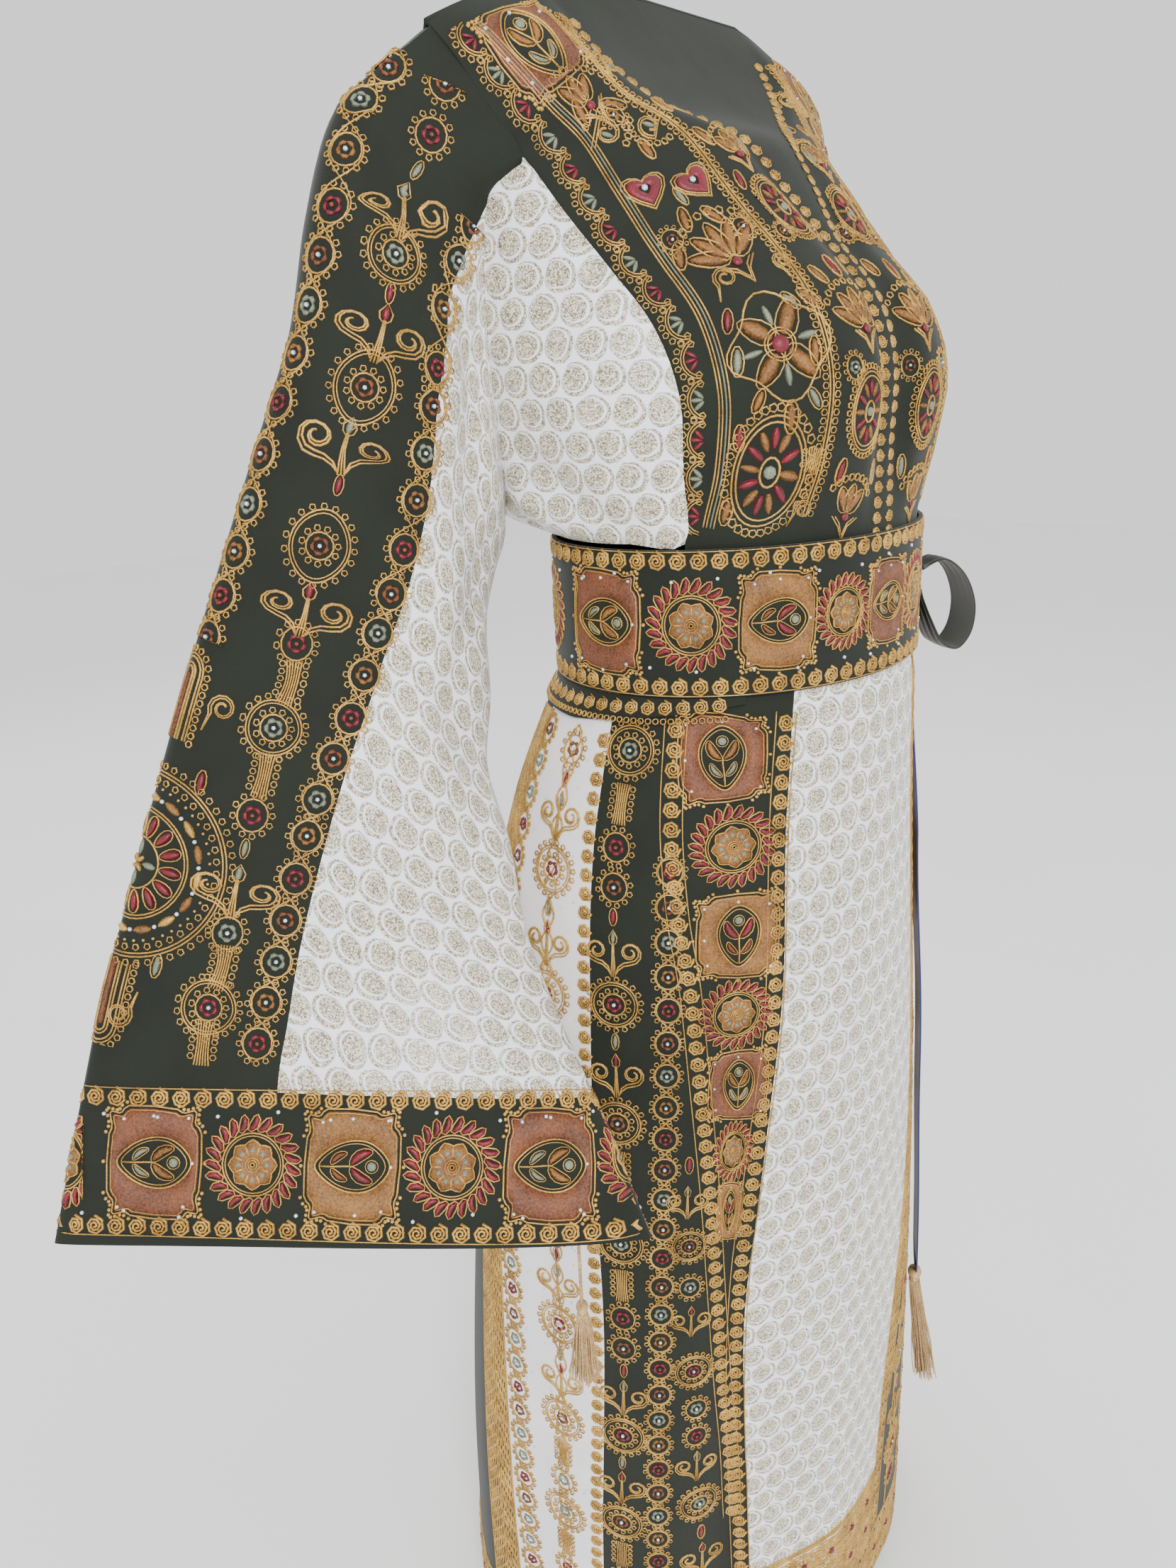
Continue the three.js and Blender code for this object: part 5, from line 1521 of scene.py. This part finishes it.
# %% White panels and back bands
SCATTERED = 120
LEAF_BAND = Motif()
for u, v, tilt in ((-8, 0, 0.7), (8, 0, -0.7), (-4, 5.5, 0.7), (4, 5.5, -0.7), (0, 0.5, 0),
                   (-12, 5, 0.7), (12, 5, -0.7)):
    LEAF_BAND.petal("gold", (u, v), math.pi / 2 + tilt, 9.5, 3.4, 1.5, steps=4)
for side, _, sign in SIDES:
    white, mirrored = f"white_{side}", side == "left"
    path = lambda share, extra: [
        (sign * (seam("side", d) + share * (seam("back", d) - seam("side", d)) + extra), d)
        for d in (434, *DOWNS)]
    edge = Lane(ring, path(0, 1.7), 8, 1, mirrored)
    edge.row(white, COIL, DISC_PITCH, size=0.9)
    lane = Lane(ring, path(0.38, 0), 20, 1, mirrored)
    for wave in (-5, 5):
        lane.cord(white, 0, wave=wave, pitch=39, gap=3.5)
    sew_column(white, lane, 4, 3)
    lane = Lane(ring, path(1, -4.6), 16, 1, mirrored)
    sew_flowers(white, lane, 22.5, ["rose", "grey", "grey", "crimson"], size=0.88)
    scatter = np.random.default_rng(11)
    lane = Lane(ring, path(0.5, 0), 44, 1, mirrored)
    for k in range(SCATTERED):
        dot = Motif()
        dot.bead("sequin", (0, 0), 1.1, 0.9, 5)
        lane.sew(white, dot, scatter.uniform(2, lane.length - 2), scatter.uniform(-36, 36))
    lane = Lane(ring, path(1, 4.8), 18, 1, mirrored)
    lane.cords("back", np.arange(-13.5, 14, 2.7), width=2.3, height=0.7, gap=5.5, wave=0.9, pitch=22)
    lane.row("back", LEAF_BAND, 11)
    lane.cords("back", (-15.5, 15.5), width=1.5, gap=4)


# %% [markdown]
# The foot of the front panel, the front seam on the wearer's left and the hem are filled with
# gold: leaves side by side, round flowers and rows of cord.

# %% Hem and foot of the front
GOLD_FLOWER = Motif()
for turn in turns(8):
    GOLD_FLOWER.petal("gold", polar(7.4, turn), turn, 8.6, 3.9, 1.6, steps=4)
GOLD_FLOWER.bead("crimson", (0, 0), 3.0, 2.0, 8)
GOLD_FLOWER.ring("gold", (0, 0), 13.2, width=1.5, sides=16)
LEAF_FAN = Motif()
for k in range(5):
    turn = (k - 2) * 0.42 - math.pi / 2
    LEAF_FAN.petal("gold", (9 * math.cos(turn), 9 + 9 * math.sin(turn)), turn, 11, 3.6, 1.5, steps=4)


FIELD_PITCH, HEM_MIDDLE, FOOT_MIDDLE = 29, 1218, 1149


def sew_gold_field(lane, half, rows, start, end, margin=0.0):
    """Dense cords over a strip and rows of gold flowers with leaf fans between them."""
    lane.cords("hem", np.arange(-half, half + 1, 3.3), start, end, width=2.6, height=0.7, gap=7.5,
               wave=1.0, pitch=30)
    start, end = start + margin, end - margin
    for c in rows:
        lane.row("hem", GOLD_FLOWER, FIELD_PITCH, c, start, end)
        for up in (-1, 1):
            lane.row("hem", LEAF_FAN, FIELD_PITCH, c + 8 * up, start + FIELD_PITCH / 2,
                     end - FIELD_PITCH / 2, size=0.9, angle=math.pi if up < 0 else 0)


hem_lane = Lane(ring, [(190, HEM_MIDDLE), (0, HEM_MIDDLE), (-190, HEM_MIDDLE)], 33)
hem_start, hem_end = hem_lane.at(180), hem_lane.at(-180)
sew_gold_field(hem_lane, 16.5, [0], hem_start, hem_end)
hem_lane.cords("hem", (-30.5, -28, -19, 19, 28, 30.5), hem_start, hem_end, width=1.8, gap=5)
for c in (23.6, -23.6):
    hem_lane.row("hem", COIL, 11.6, c, hem_start, hem_end, size=0.78)
foot_lane = Lane(ring, [(31, FOOT_MIDDLE), (12, FOOT_MIDDLE), (-9, FOOT_MIDDLE)], 40)
sew_gold_field(foot_lane, 33, [-16, 16], 0, foot_lane.length, 3)
foot_lane.cords("hem", (-35, -1, 1, 35, 37.5), width=1.6, gap=5)
left_downs = (470, 560, 660, 760, 860, 960, 1060, 1184)
lane = Lane(ring, [(seam("frontLeft", d) - 5.2, d) for d in left_downs], 18, 1, True)
lane.cords("hem", (-13.5, 13.5), width=1.5, gap=4)

# %% [markdown]
# ### Sleeves
#
# The green top of each sleeve carries three columns: flowers along its edge, a tall column of
# rosettes and scrolls in the middle, and on the fold a line of flowers that ends in a medallion.
# The back half repeats the middle and the edge in mirror image.

# %% Medallion
def drop_motif(colour, length=11, width=5.5):
    """A satin drop with a gold outline; its point is at negative v."""
    made = Motif()
    made.petal(colour, (0, 0), math.pi / 2, length, width, 1.5)
    turn = turns(12)
    made.ridge("gold", np.stack([0.62 * width * np.cos(turn) * (1 + 0.25 * np.sin(turn)),
                                 0.62 * length * np.sin(turn)], 1), 1.0, 1.1, closed=True)
    return made


def medallion_motif():
    made = Motif()
    for turn in turns(4, 0.5):
        made.petal("gold", polar(3, turn), turn, 6, 3.4, 2.0)
    for turn in turns(4):
        made.petal("grey", polar(9, turn), turn, 8.5, 4.6, 1.5)
    made.ring("gold", (0, 0), 15, width=1.5, sides=28)
    drop = drop_motif("crimson")
    for turn in turns(14):
        made.add(drop, polar(22.5, turn), turn - math.pi / 2)
    for radius in (30.5, 32.3):
        made.ring("gold", (0, 0), radius, width=1.4, sides=40)
    for k, turn in enumerate(turns(16)):
        made.petal("tan" if k % 2 else "gold", polar(38.6, turn), turn + math.pi / 2, 10.5, 5.6, 1.6)
        made.bead("sequin", polar(38.6, turn + math.pi / 16), 1.4, 1.6)
    for turn in turns(48):
        made.bead("gold", polar(44.8, turn), 1.0, 1.0, 5)
    made.loops((0, 0), 48.6, count=44, size=1.9)
    for radius in (52.2, 54.2):
        made.ring("gold", (0, 0), radius, width=1.5, sides=56)
    made.loops((0, 0), 57.6, count=54, size=1.9)
    return made


MEDALLION = medallion_motif()
FINGER = Motif()
for grow, width in ((0, 5.0), (4.0, 1.6), (6.0, 1.4), (9.5, 1.6), (11.5, 1.4)):
    arc = np.linspace(0, math.pi, 9)
    round_end = np.stack([-grow * np.cos(arc), -16 - grow * np.sin(arc)], 1)
    if grow:
        FINGER.ridge("gold", np.vstack([[[-grow, 22]], [[-grow, 4]], round_end, [[grow, 4]],
                                        [[grow, 22]]]), width)
    else:
        FINGER.ridge("rose", [(0, 22), (0, 8), (0, -6), (0, -16)], width, 1.3)
FINGER.loops((0, -16), 14.4, count=9, start=math.pi, share=0.5, size=1.9)
for k in range(8):
    for side in (-1, 1):
        FINGER.ring("gold", (side * 14.4, -11 + 4.8 * k), 1.9, width=1.25, height=0.9, sides=6)
CURL = Motif()
for radius in (8.6, 6.8):
    CURL.ridge("gold", np.vstack([[[0, 15]], spiral((8.6, 0), radius, 1.5, math.pi * 0.8, 1)]), 1.5)

# %% Sleeve tables
SLEEVE_MIDDLE = [  # part, step, kind, colour
    (0.23, 1.87, "flower", "rose"), (0.60, 2.99, "flower", "crimson"), (0.84, 3.74, "leaf", "grey"),
    (1.16, 4.25, "scroll", "grey"), (1.72, 4.13, "rosette", "grey"), (2.07, 4.2, "leaf", "crimson"),
    (2.42, 4.2, "scroll", "crimson"), (2.98, 4.0, "rosette", "tall"), (3.50, 4.0, "scroll", "grey"),
    (3.80, 4.3, "leaf", "crimson"), (4.32, 4.41, "rosette", "tall"), (4.87, 4.62, "scroll", "crimson"),
    (5.23, 4.63, "flower", "crimson"), (5.60, 4.76, "bundle", "gold"), (6.05, 4.6, "rosette", "grey"),
    (6.48, 4.63, "bundle", "gold"), (6.86, 4.56, "flower", "crimson"), (7.18, 4.54, "leaf", "grey"),
    (7.58, 4.52, "scroll", "grey"), (8.03, 4.53, "flower", "grey"), (8.44, 4.56, "bundle", "gold"),
    (8.96, 4.41, "rosette", "crimson"), (9.46, 4.41, "bundle", "gold"),
]
SLEEVE_EDGE = [(0.33, 5.95), (0.67, 6.1), (1.27, 6.15), (1.98, 6.2), (2.32, 6.35), (2.81, 6.38),
               (3.28, 6.5), (3.76, 6.63), (4.19, 6.7), (4.6, 6.7), (5.1, 6.62), (5.62, 6.45),
               (6.07, 6.2), (6.49, 6.0), (6.86, 5.9), (7.31, 5.8), (7.76, 5.72), (8.26, 5.65),
               (8.8, 5.55), (9.4, 5.48), (9.87, 5.38)]
FOLD_PATH = [(0.35, 0.2), (0.95, 1.2), (1.44, 1.5), (1.97, 1.3), (2.4, 1.0), (2.8, .7), (3.2, .6),
             (4.0, .85), (4.4, 1.1), (4.8, 1.3), (5.2, 1.3), (5.6, 1.2)]
FOLD_FLOWERS = [(0.54, "rose"), (0.94, "grey"), (1.44, "peach"), (1.97, "crimson"), (2.4, "rose"),
                (2.81, "grey"), (3.2, "peach"), (3.6, "crimson"), (4.02, "rose"), (4.42, "grey"),
                (4.81, "peach"), (5.2, "crimson"), (5.58, "rose")]
SLEEVE_SPOTS = [  # part, step, motif, size, upside down
    (7.57, 0.6, MEDALLION, 1.0, False), (6.15, 0.6, FINGER, 1.0, False),
    (8.98, 0.9, FINGER, 1.0, True), (6.1, 2.4, CURL, 1.0, False), (9.2, 2.5, CURL, 1.0, True),
    (6.75, 2.9, LEAVES["crimson"], 1.2, False), (8.55, 2.9, LEAVES["grey"], 1.2, False),
]


# %% Sew the sleeves
def sew_sleeve(region, sleeve, outward, mirrored, way):
    """One half of a sleeve; way is -1 for the back half."""
    turned = lambda rows: [(part, way * step) for part, step in rows]
    middle = Lane(sleeve, turned([row[:2] for row in SLEEVE_MIDDLE] + [(9.9, 4.43)]), 26, outward,
                  mirrored)
    for part, _, kind, colour in SLEEVE_MIDDLE:
        wide = 1.4 if kind == "scroll" else 1.0
        middle.sew(region, DESIGNS[kind][colour], middle.at(part), wide=wide)
    edge = Lane(sleeve, turned(SLEEVE_EDGE), 15, outward, mirrored)
    places = [edge.at(part) for part, _ in SLEEVE_EDGE]
    sew_linked(region, edge, places[:-1], ["rose", "grey", "peach", "crimson"], 0.96)


for side, sleeve, outward in SIDES:
    region, left = f"sleeve_{side}", side == "left"
    sew_sleeve(region, sleeve, outward, left, 1)
    sew_sleeve(region, sleeve, outward, not left, -1)
    fold = Lane(sleeve, FOLD_PATH, 15, outward, left)
    sew_linked(region, fold, [fold.at(part) for part, _ in FOLD_FLOWERS],
               [colour for _, colour in FOLD_FLOWERS])
    for part, step, motif, size, down in SLEEVE_SPOTS:
        reach = 1.4 if motif is MEDALLION else 0.6
        low, high = max(part - reach, 0.1), min(part + reach, 10)
        spot = Lane(sleeve, [(low, step), (high, step)], 64 if motif is MEDALLION else 20, outward, left)
        spot.sew(region, motif, spot.at(part), angle=math.pi if down else 0, size=size)


# %% [markdown]
# ### Bodice
#
# Palmettes of loops follow the armhole seam. Inside them run a band of four cords and a double cord
# with loops on both sides. Between the two stand the large figures: a rose square, tulips, hearts,
# a lily, a bow flower and an oval. Smaller ones lie between the double cord and the middle.

# %% Figures of the bodice
def palmette_motif(colour):
    """A half flower that opens to the viewer's left, with a fan of loops."""
    made = Motif()
    for k in range(3):
        turn = math.pi + (k - 1) * 0.75
        made.petal(colour, (2 + 4.6 * math.cos(turn), 4.6 * math.sin(turn)), turn, 7, 3.2, 1.4)
    for radius in (9.2, 10.8):
        arc = np.linspace(0.55 * math.pi, 1.45 * math.pi, 9)
        made.ridge("gold", np.stack([3 + radius * np.cos(arc), radius * np.sin(arc)], 1), 1.15)
    made.loops((3, 0), 13.4, count=8, start=0.56 * math.pi, share=0.44, size=1.8)
    return made


def fan_motif(petals, length, spread):
    made = Motif()
    drop = drop_motif("tan", length, 6.5)
    for k in range(petals):
        turn = (k - (petals - 1) / 2) * spread
        reach = length * 0.75
        made.add(drop, (reach * math.sin(turn), 4 - reach * math.cos(turn)), turn)
    for grow in (0, 2.2):
        made.ridge("gold", [(-7 - grow, 5), (-3, 8 + grow), (0, 15 + grow), (3, 8 + grow),
                            (7 + grow, 5)], 1.3)
    made.bead("crimson", (0, 5), 2.6, 1.8, 8)
    made.loops((0, 2), length * 1.5, count=9, start=1.2 * math.pi, share=0.3, size=1.9)
    return made


def heart_motif():
    made = Motif()
    turn = turns(20)
    u, v = 0.62 * 16 * np.sin(turn) ** 3, -0.62 * (13 * np.cos(turn) - 5 * np.cos(2 * turn)
                                                  - 2 * np.cos(3 * turn))
    line = np.stack([u, v], 1)[::-1]
    made.sheet("crimson", line * 0.86, line * 0.3, 1.0)
    for size in (0.95, 1.12):
        made.ridge("gold", line * size, 1.2, closed=True)
    made.bead("sequin", (0, -1), 1.8, 1.6)
    return made


def paisley_motif():
    made = Motif()
    for size in (1.0, 0.78):
        curl = spiral((0, 0), 8.5 * size, 1.1, -math.pi / 2, 1)
        made.ridge("gold", np.vstack([[[-11 * size, 7]], curl]), 1.3)
    made.petal("grey", (0, 1), 0.6, 7, 4, 1.5)
    made.loops((0, 0), 11.2, count=9, start=-2.4, share=0.5, size=1.9)
    return made


def bow_motif():
    made = Motif()
    drop = drop_motif("tan", 15, 8)
    for turn in (0.7, 2.45, 3.85, 5.6):
        made.add(drop, (12 * math.sin(turn), -12 * math.cos(turn)), turn)
    made.bead("crimson", (0, 0), 4.2, 2.4, 10)
    for radius in (5.6, 7.0):
        made.ring("gold", (0, 0), radius, width=1.1, sides=14)
    made.ring("gold", (0, 0), 21.5, width=1.4, sides=32, wave=0.13, waves=4)
    for turn in turns(4):
        made.petal("grey", polar(13, turn), turn, 9, 3.6, 1.4)
    return made


def oval_motif():
    made = Motif()
    for k, turn in enumerate(turns(12)):
        made.petal("crimson" if k % 2 else "tan", (9 * math.cos(turn), 15 * math.sin(turn)),
                   math.atan2(1.35 * math.sin(turn), math.cos(turn)), 9, 4.4, 1.5)
    made.ring("gold", (0, 0), 4.4, 1.5, sides=14)
    made.bead("grey", (0, 0), 3.2, 1.8, 8)
    for radius in (14.5, 16.3):
        made.ring("gold", (0, 0), radius, 1.5, width=1.4, sides=32)
    made.loops((0, 0), 19.2, 1.45, 34, size=1.9)
    return made


PALMETTES = {colour: palmette_motif(colour) for colour in ("crimson", "grey")}
TULIP, LILY = fan_motif(3, 12, 0.55), fan_motif(5, 16, 0.5)
HEART, PAISLEY, BOW, OVAL = heart_motif(), paisley_motif(), bow_motif(), oval_motif()
FIGURES = [  # share, row, motif, size, angle
    (0.575, 1.72, patch_motif("rose", "tan", "grey", 24, 23), 1.1, 0), (0.61, 3.05, TULIP, 1.15, 0.2),
    (0.70, 3.95, PAISLEY, 1.1, 0.4), (0.52, 3.95, PAISLEY, 1.1, 3.6),
    (0.61, 4.35, LEAVES["tan"], 1.3, 0), (0.72, 4.95, HEART, 1.2, 0.2),
    (0.53, 4.95, HEART, 1.2, -0.2), (0.625, 5.15, LEAVES["grey"], 1.1, 0),
    (0.60, 3.6, FLOWERS["peach"], 0.7, 0), (0.77, 5.75, FLOWERS["rose"], 0.7, 0),
    (0.50, 5.75, FLOWERS["rose"], 0.7, 0), (0.80, 7.05, LEAVES["crimson"], 1.2, 0.5),
    (0.56, 6.9, LEAVES["grey"], 1.2, -0.4), (0.33, 5.0, LEAVES["crimson"], 1.2, 0.3),
    (0.36, 6.6, LEAVES["tan"], 1.3, -0.3), (0.12, 6.5, LEAVES["tan"], 1.3, 0.3),
    (0.38, 7.9, FLOWERS["grey"], 0.7, 0), (0.13, 8.0, FLOWERS["rose"], 0.7, 0),
    (0.39, 9.2, LEAVES["crimson"], 1.3, 0), (0.13, 9.3, LEAVES["grey"], 1.3, 0),
    (0.63, 6.1, LILY, 1.3, 0), (0.76, 6.45, CURL, 0.9, 0.3), (0.51, 6.4, CURL, 0.8, -0.3),
    (0.67, 7.45, BOW, 1.3, 0), (0.78, 8.15, LEAVES["tan"], 1.2, 0.5),
    (0.58, 8.2, LEAVES["grey"], 1.2, -0.5),
    (0.72, 9.1, OVAL, 1.3, 0), (0.555, 9.0, SHORT_BUNDLE, 0.9, 0), (0.56, 9.6, CURL, 0.8, 0),
    (0.10, 3.2, drop_motif("grey", 15, 8), 1.0, 0), (0.20, 2.3, PAISLEY, 0.9, 0),
    (0.25, 3.3, LEAVES["tan"], 1.3, 0.4), (0.22, 4.4, TULIP, 1.1, 0), (0.22, 5.5, OVAL, 0.85, 0),
    (0.24, 6.5, LEAVES["crimson"], 1.5, 0), (0.25, 7.3, LILY, 1.15, 0), (0.28, 8.5, OVAL, 0.9, 0),
    (0.27, 9.7, TULIP, 1.15, 0), (0.15, 4.3, LEAVES["grey"], 1.4, 0.3),
    (0.33, 4.2, LEAVES["tan"], 1.4, -0.3),
    (0.34, 5.9, FLOWERS["rose"], 0.6, 0), (0.12, 5.9, FLOWERS["rose"], 0.6, 0),
    (0.79, 6.0, LEAVES["tan"], 1.5, 0.5), (0.48, 6.9, LEAVES["tan"], 1.5, -0.5),
    (0.82, 7.6, LEAVES["grey"], 1.4, 0.3), (0.55, 7.6, LEAVES["tan"], 1.4, 0.2),
    (0.67, 8.4, LEAVES["tan"], 1.6, 0), (0.84, 8.6, LEAVES["crimson"], 1.3, 0),
    (0.84, 9.6, LEAVES["tan"], 1.4, 0), (0.68, 5.5, LEAVES["tan"], 1.4, 0.4),
    (0.57, 5.5, LEAVES["tan"], 1.4, -0.4), (0.70, 3.4, LEAVES["tan"], 1.4, 0.5),
    (0.52, 3.3, LEAVES["tan"], 1.4, -0.5),
]
PALMETTE_PATH = [(0.875, 0.7), (0.875, 1.38), (0.865, 2.44), (0.87, 3.5), (0.885, 4.43), (0.90, 5.17),
                 (0.92, 5.89), (0.925, 6.62), (0.93, 7.29), (0.94, 7.85), (0.95, 8.44), (0.95, 9.02),
                 (0.95, 9.9)]
INNER_PATH = [(0.19, 0.98), (0.30, 2.2), (0.40, 3.63), (0.41, 4.69), (0.43, 5.53), (0.435, 6.14),
              (0.48, 7.11), (0.505, 8.04), (0.515, 8.93), (0.49, 9.75)]
OUTER_PATH = [(0.80, 0.9), (0.78, 1.64), (0.765, 3.0), (0.80, 4.83), (0.83, 5.7), (0.85, 6.52),
              (0.865, 7.14), (0.875, 7.64), (0.885, 8.39), (0.89, 9.15), (0.90, 9.81)]

# %% Sew the bodice
def one_side(sign):
    """The front of one side, which stops at the neck opening."""
    return lambda share, row: bodice_front(sign * np.maximum(sign * share, 0.004), row)


LOOP = Motif()
LOOP.ring("gold", (0, 0), 1.9, width=1.0, height=0.9, sides=6)
for side, _, sign in SIDES:
    region, left = f"bodice_{side}", side == "left"
    flip = lambda rows: [(sign * share, row) for share, row in rows]
    front = one_side(sign)
    lane = Lane(front, flip(PALMETTE_PATH), 18, 1, left)
    count = int(lane.length / 21)
    for k in range(count):
        colour = "crimson" if k % 2 == 0 else "grey"
        lane.sew(region, PALMETTES[colour], (k + 0.5) * lane.length / count)
    lane = Lane(front, flip(OUTER_PATH), 8, 1, left)
    for c, colour in ((-3, "gold"), (-1.1, "gold"), (1.1, "grey"), (3.1, "gold")):
        lane.cord(region, c, colour=colour, width=1.4)
    lane = Lane(front, flip(INNER_PATH), 8, 1, left)
    lane.cords(region, (-1.1, 1.1), width=1.5)
    for c in (-3.9, 3.9):
        lane.row(region, LOOP, 4.8, c)
    lane = Lane(front, flip([(0.07, 0.9), (0.075, 2.6), (0.05, 4.6), (0.045, 7), (0.05, 10.7)]),
                3, 1, left)
    lane.row(region, COIL, 9.2, 0, size=0.72)
    for share, row, motif, size, angle in FIGURES:
        reach = 1.0 if row < 5 else 1.3
        path = [(share, max(row - reach, 0.1)), (share, min(row + reach, 10.7))]
        spot = Lane(front, flip(path), 12 if share < 0.24 else 30, 1, left)
        spot.sew(region, motif, spot.at(row, "b"), angle=angle, size=size)

# %% [markdown]
# ### One mesh for each thread
#
# All that is sewn in one region with one thread becomes a single mesh.

# %% Join the sewn pieces
THREADS = {"gold": (GOLD, "gold_cord"), "crimson": (CRIMSON, "crimson_silk"),
           "rose": (ROSE, "rose_silk"), "tan": (TAN, "rose_silk"), "grey": (GREY, "grey_silk"),
           "sequin": (PEARL, "sequins")}


def sewn_mesh(name, corners, quads, tris):
    mesh = bpy.data.meshes.new(name)
    mesh.vertices.add(len(corners))
    mesh.vertices.foreach_set("co", corners.ravel())
    loops = np.concatenate([quads.ravel(), tris.ravel()])
    mesh.loops.add(len(loops))
    mesh.loops.foreach_set("vertex_index", loops)
    starts = np.concatenate([np.arange(len(quads)) * 4, len(quads) * 4 + np.arange(len(tris)) * 3])
    mesh.polygons.add(len(starts))
    mesh.polygons.foreach_set("loop_start", starts)
    mesh.polygons.foreach_set("use_smooth", np.ones(len(starts), bool))
    mesh.update(calc_edges=True)
    mesh.validate()
    return mesh


total = 0
for (region, colour), (corners, quads, tris, _) in sorted(SEWN.items()):
    material, slot = THREADS[colour]
    corners, quads, tris = (np.concatenate(item) for item in (corners, quads, tris))
    name = f"{slot if colour != 'tan' else 'tan_silk'}_{region}"
    piece = add_piece(name, sewn_mesh(name, corners, quads, tris))
    finish_piece(piece, material, slot)
    count = 2 * len(quads) + len(tris)
    total += count
    print(name, count, "triangles")
print("sewn in all", total, "triangles")

# %% [markdown]
# ## Floor, light and hand-in
#
# A pale floor lies under the hem, and three large soft lamps and a bright sky light the dress.

# %% Floor and light
FLOOR_SIZE, FLOOR_DROP = 14, 0.02
floor_finish = Finish("floor", roughness=0.9)
floor_at = floor_finish.coordinates("Object")
floor_finish.colour(floor_finish.blend(
    floor_finish.noise(floor_at, 3, 3), linear((244, 244, 244)), linear((250, 250, 250))))
bpy.ops.object.select_all(action="DESELECT")
bpy.ops.mesh.primitive_plane_add(size=FLOOR_SIZE, location=(0, 0, -HEM * MM - FLOOR_DROP))
floor = bpy.context.object
floor.name = "floor"
floor.data.materials.append(floor_finish.material)
floor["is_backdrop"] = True

DRESS_MIDDLE = (0, 0, -0.6)


def lamp(name, at, power, size):
    light = bpy.data.lights.new(name, "AREA")
    light.energy, light.size = power, size
    aim = Vector(DRESS_MIDDLE) - Vector(at)
    add_piece(name, light).matrix_world = (
        Matrix.Translation(at) @ aim.to_track_quat("-Z", "Y").to_matrix().to_4x4())


lamp("key", (-2.2, -2.6, 1.4), 150, 1.2)
lamp("fill", (2.4, -2.2, 0.4), 22, 2.2)
lamp("rim", (0.6, 2.6, 1.4), 30, 2.0)
world = bpy.data.worlds.new("sky")
world.use_nodes = True
world.node_tree.nodes["Background"].inputs[0].default_value = (1, 1, 1, 1)
world.node_tree.nodes["Background"].inputs[1].default_value = 1.2
bpy.context.scene.world = world

# %% Size
low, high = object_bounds()
sizes = {"cad": [list(cad_low), list(cad_high)], "visual": [list(low), list(high)]}
print("over the packed box by", [round(v / MM, 1) for v in (*(cad_low - low), *(high - cad_high))], "mm")
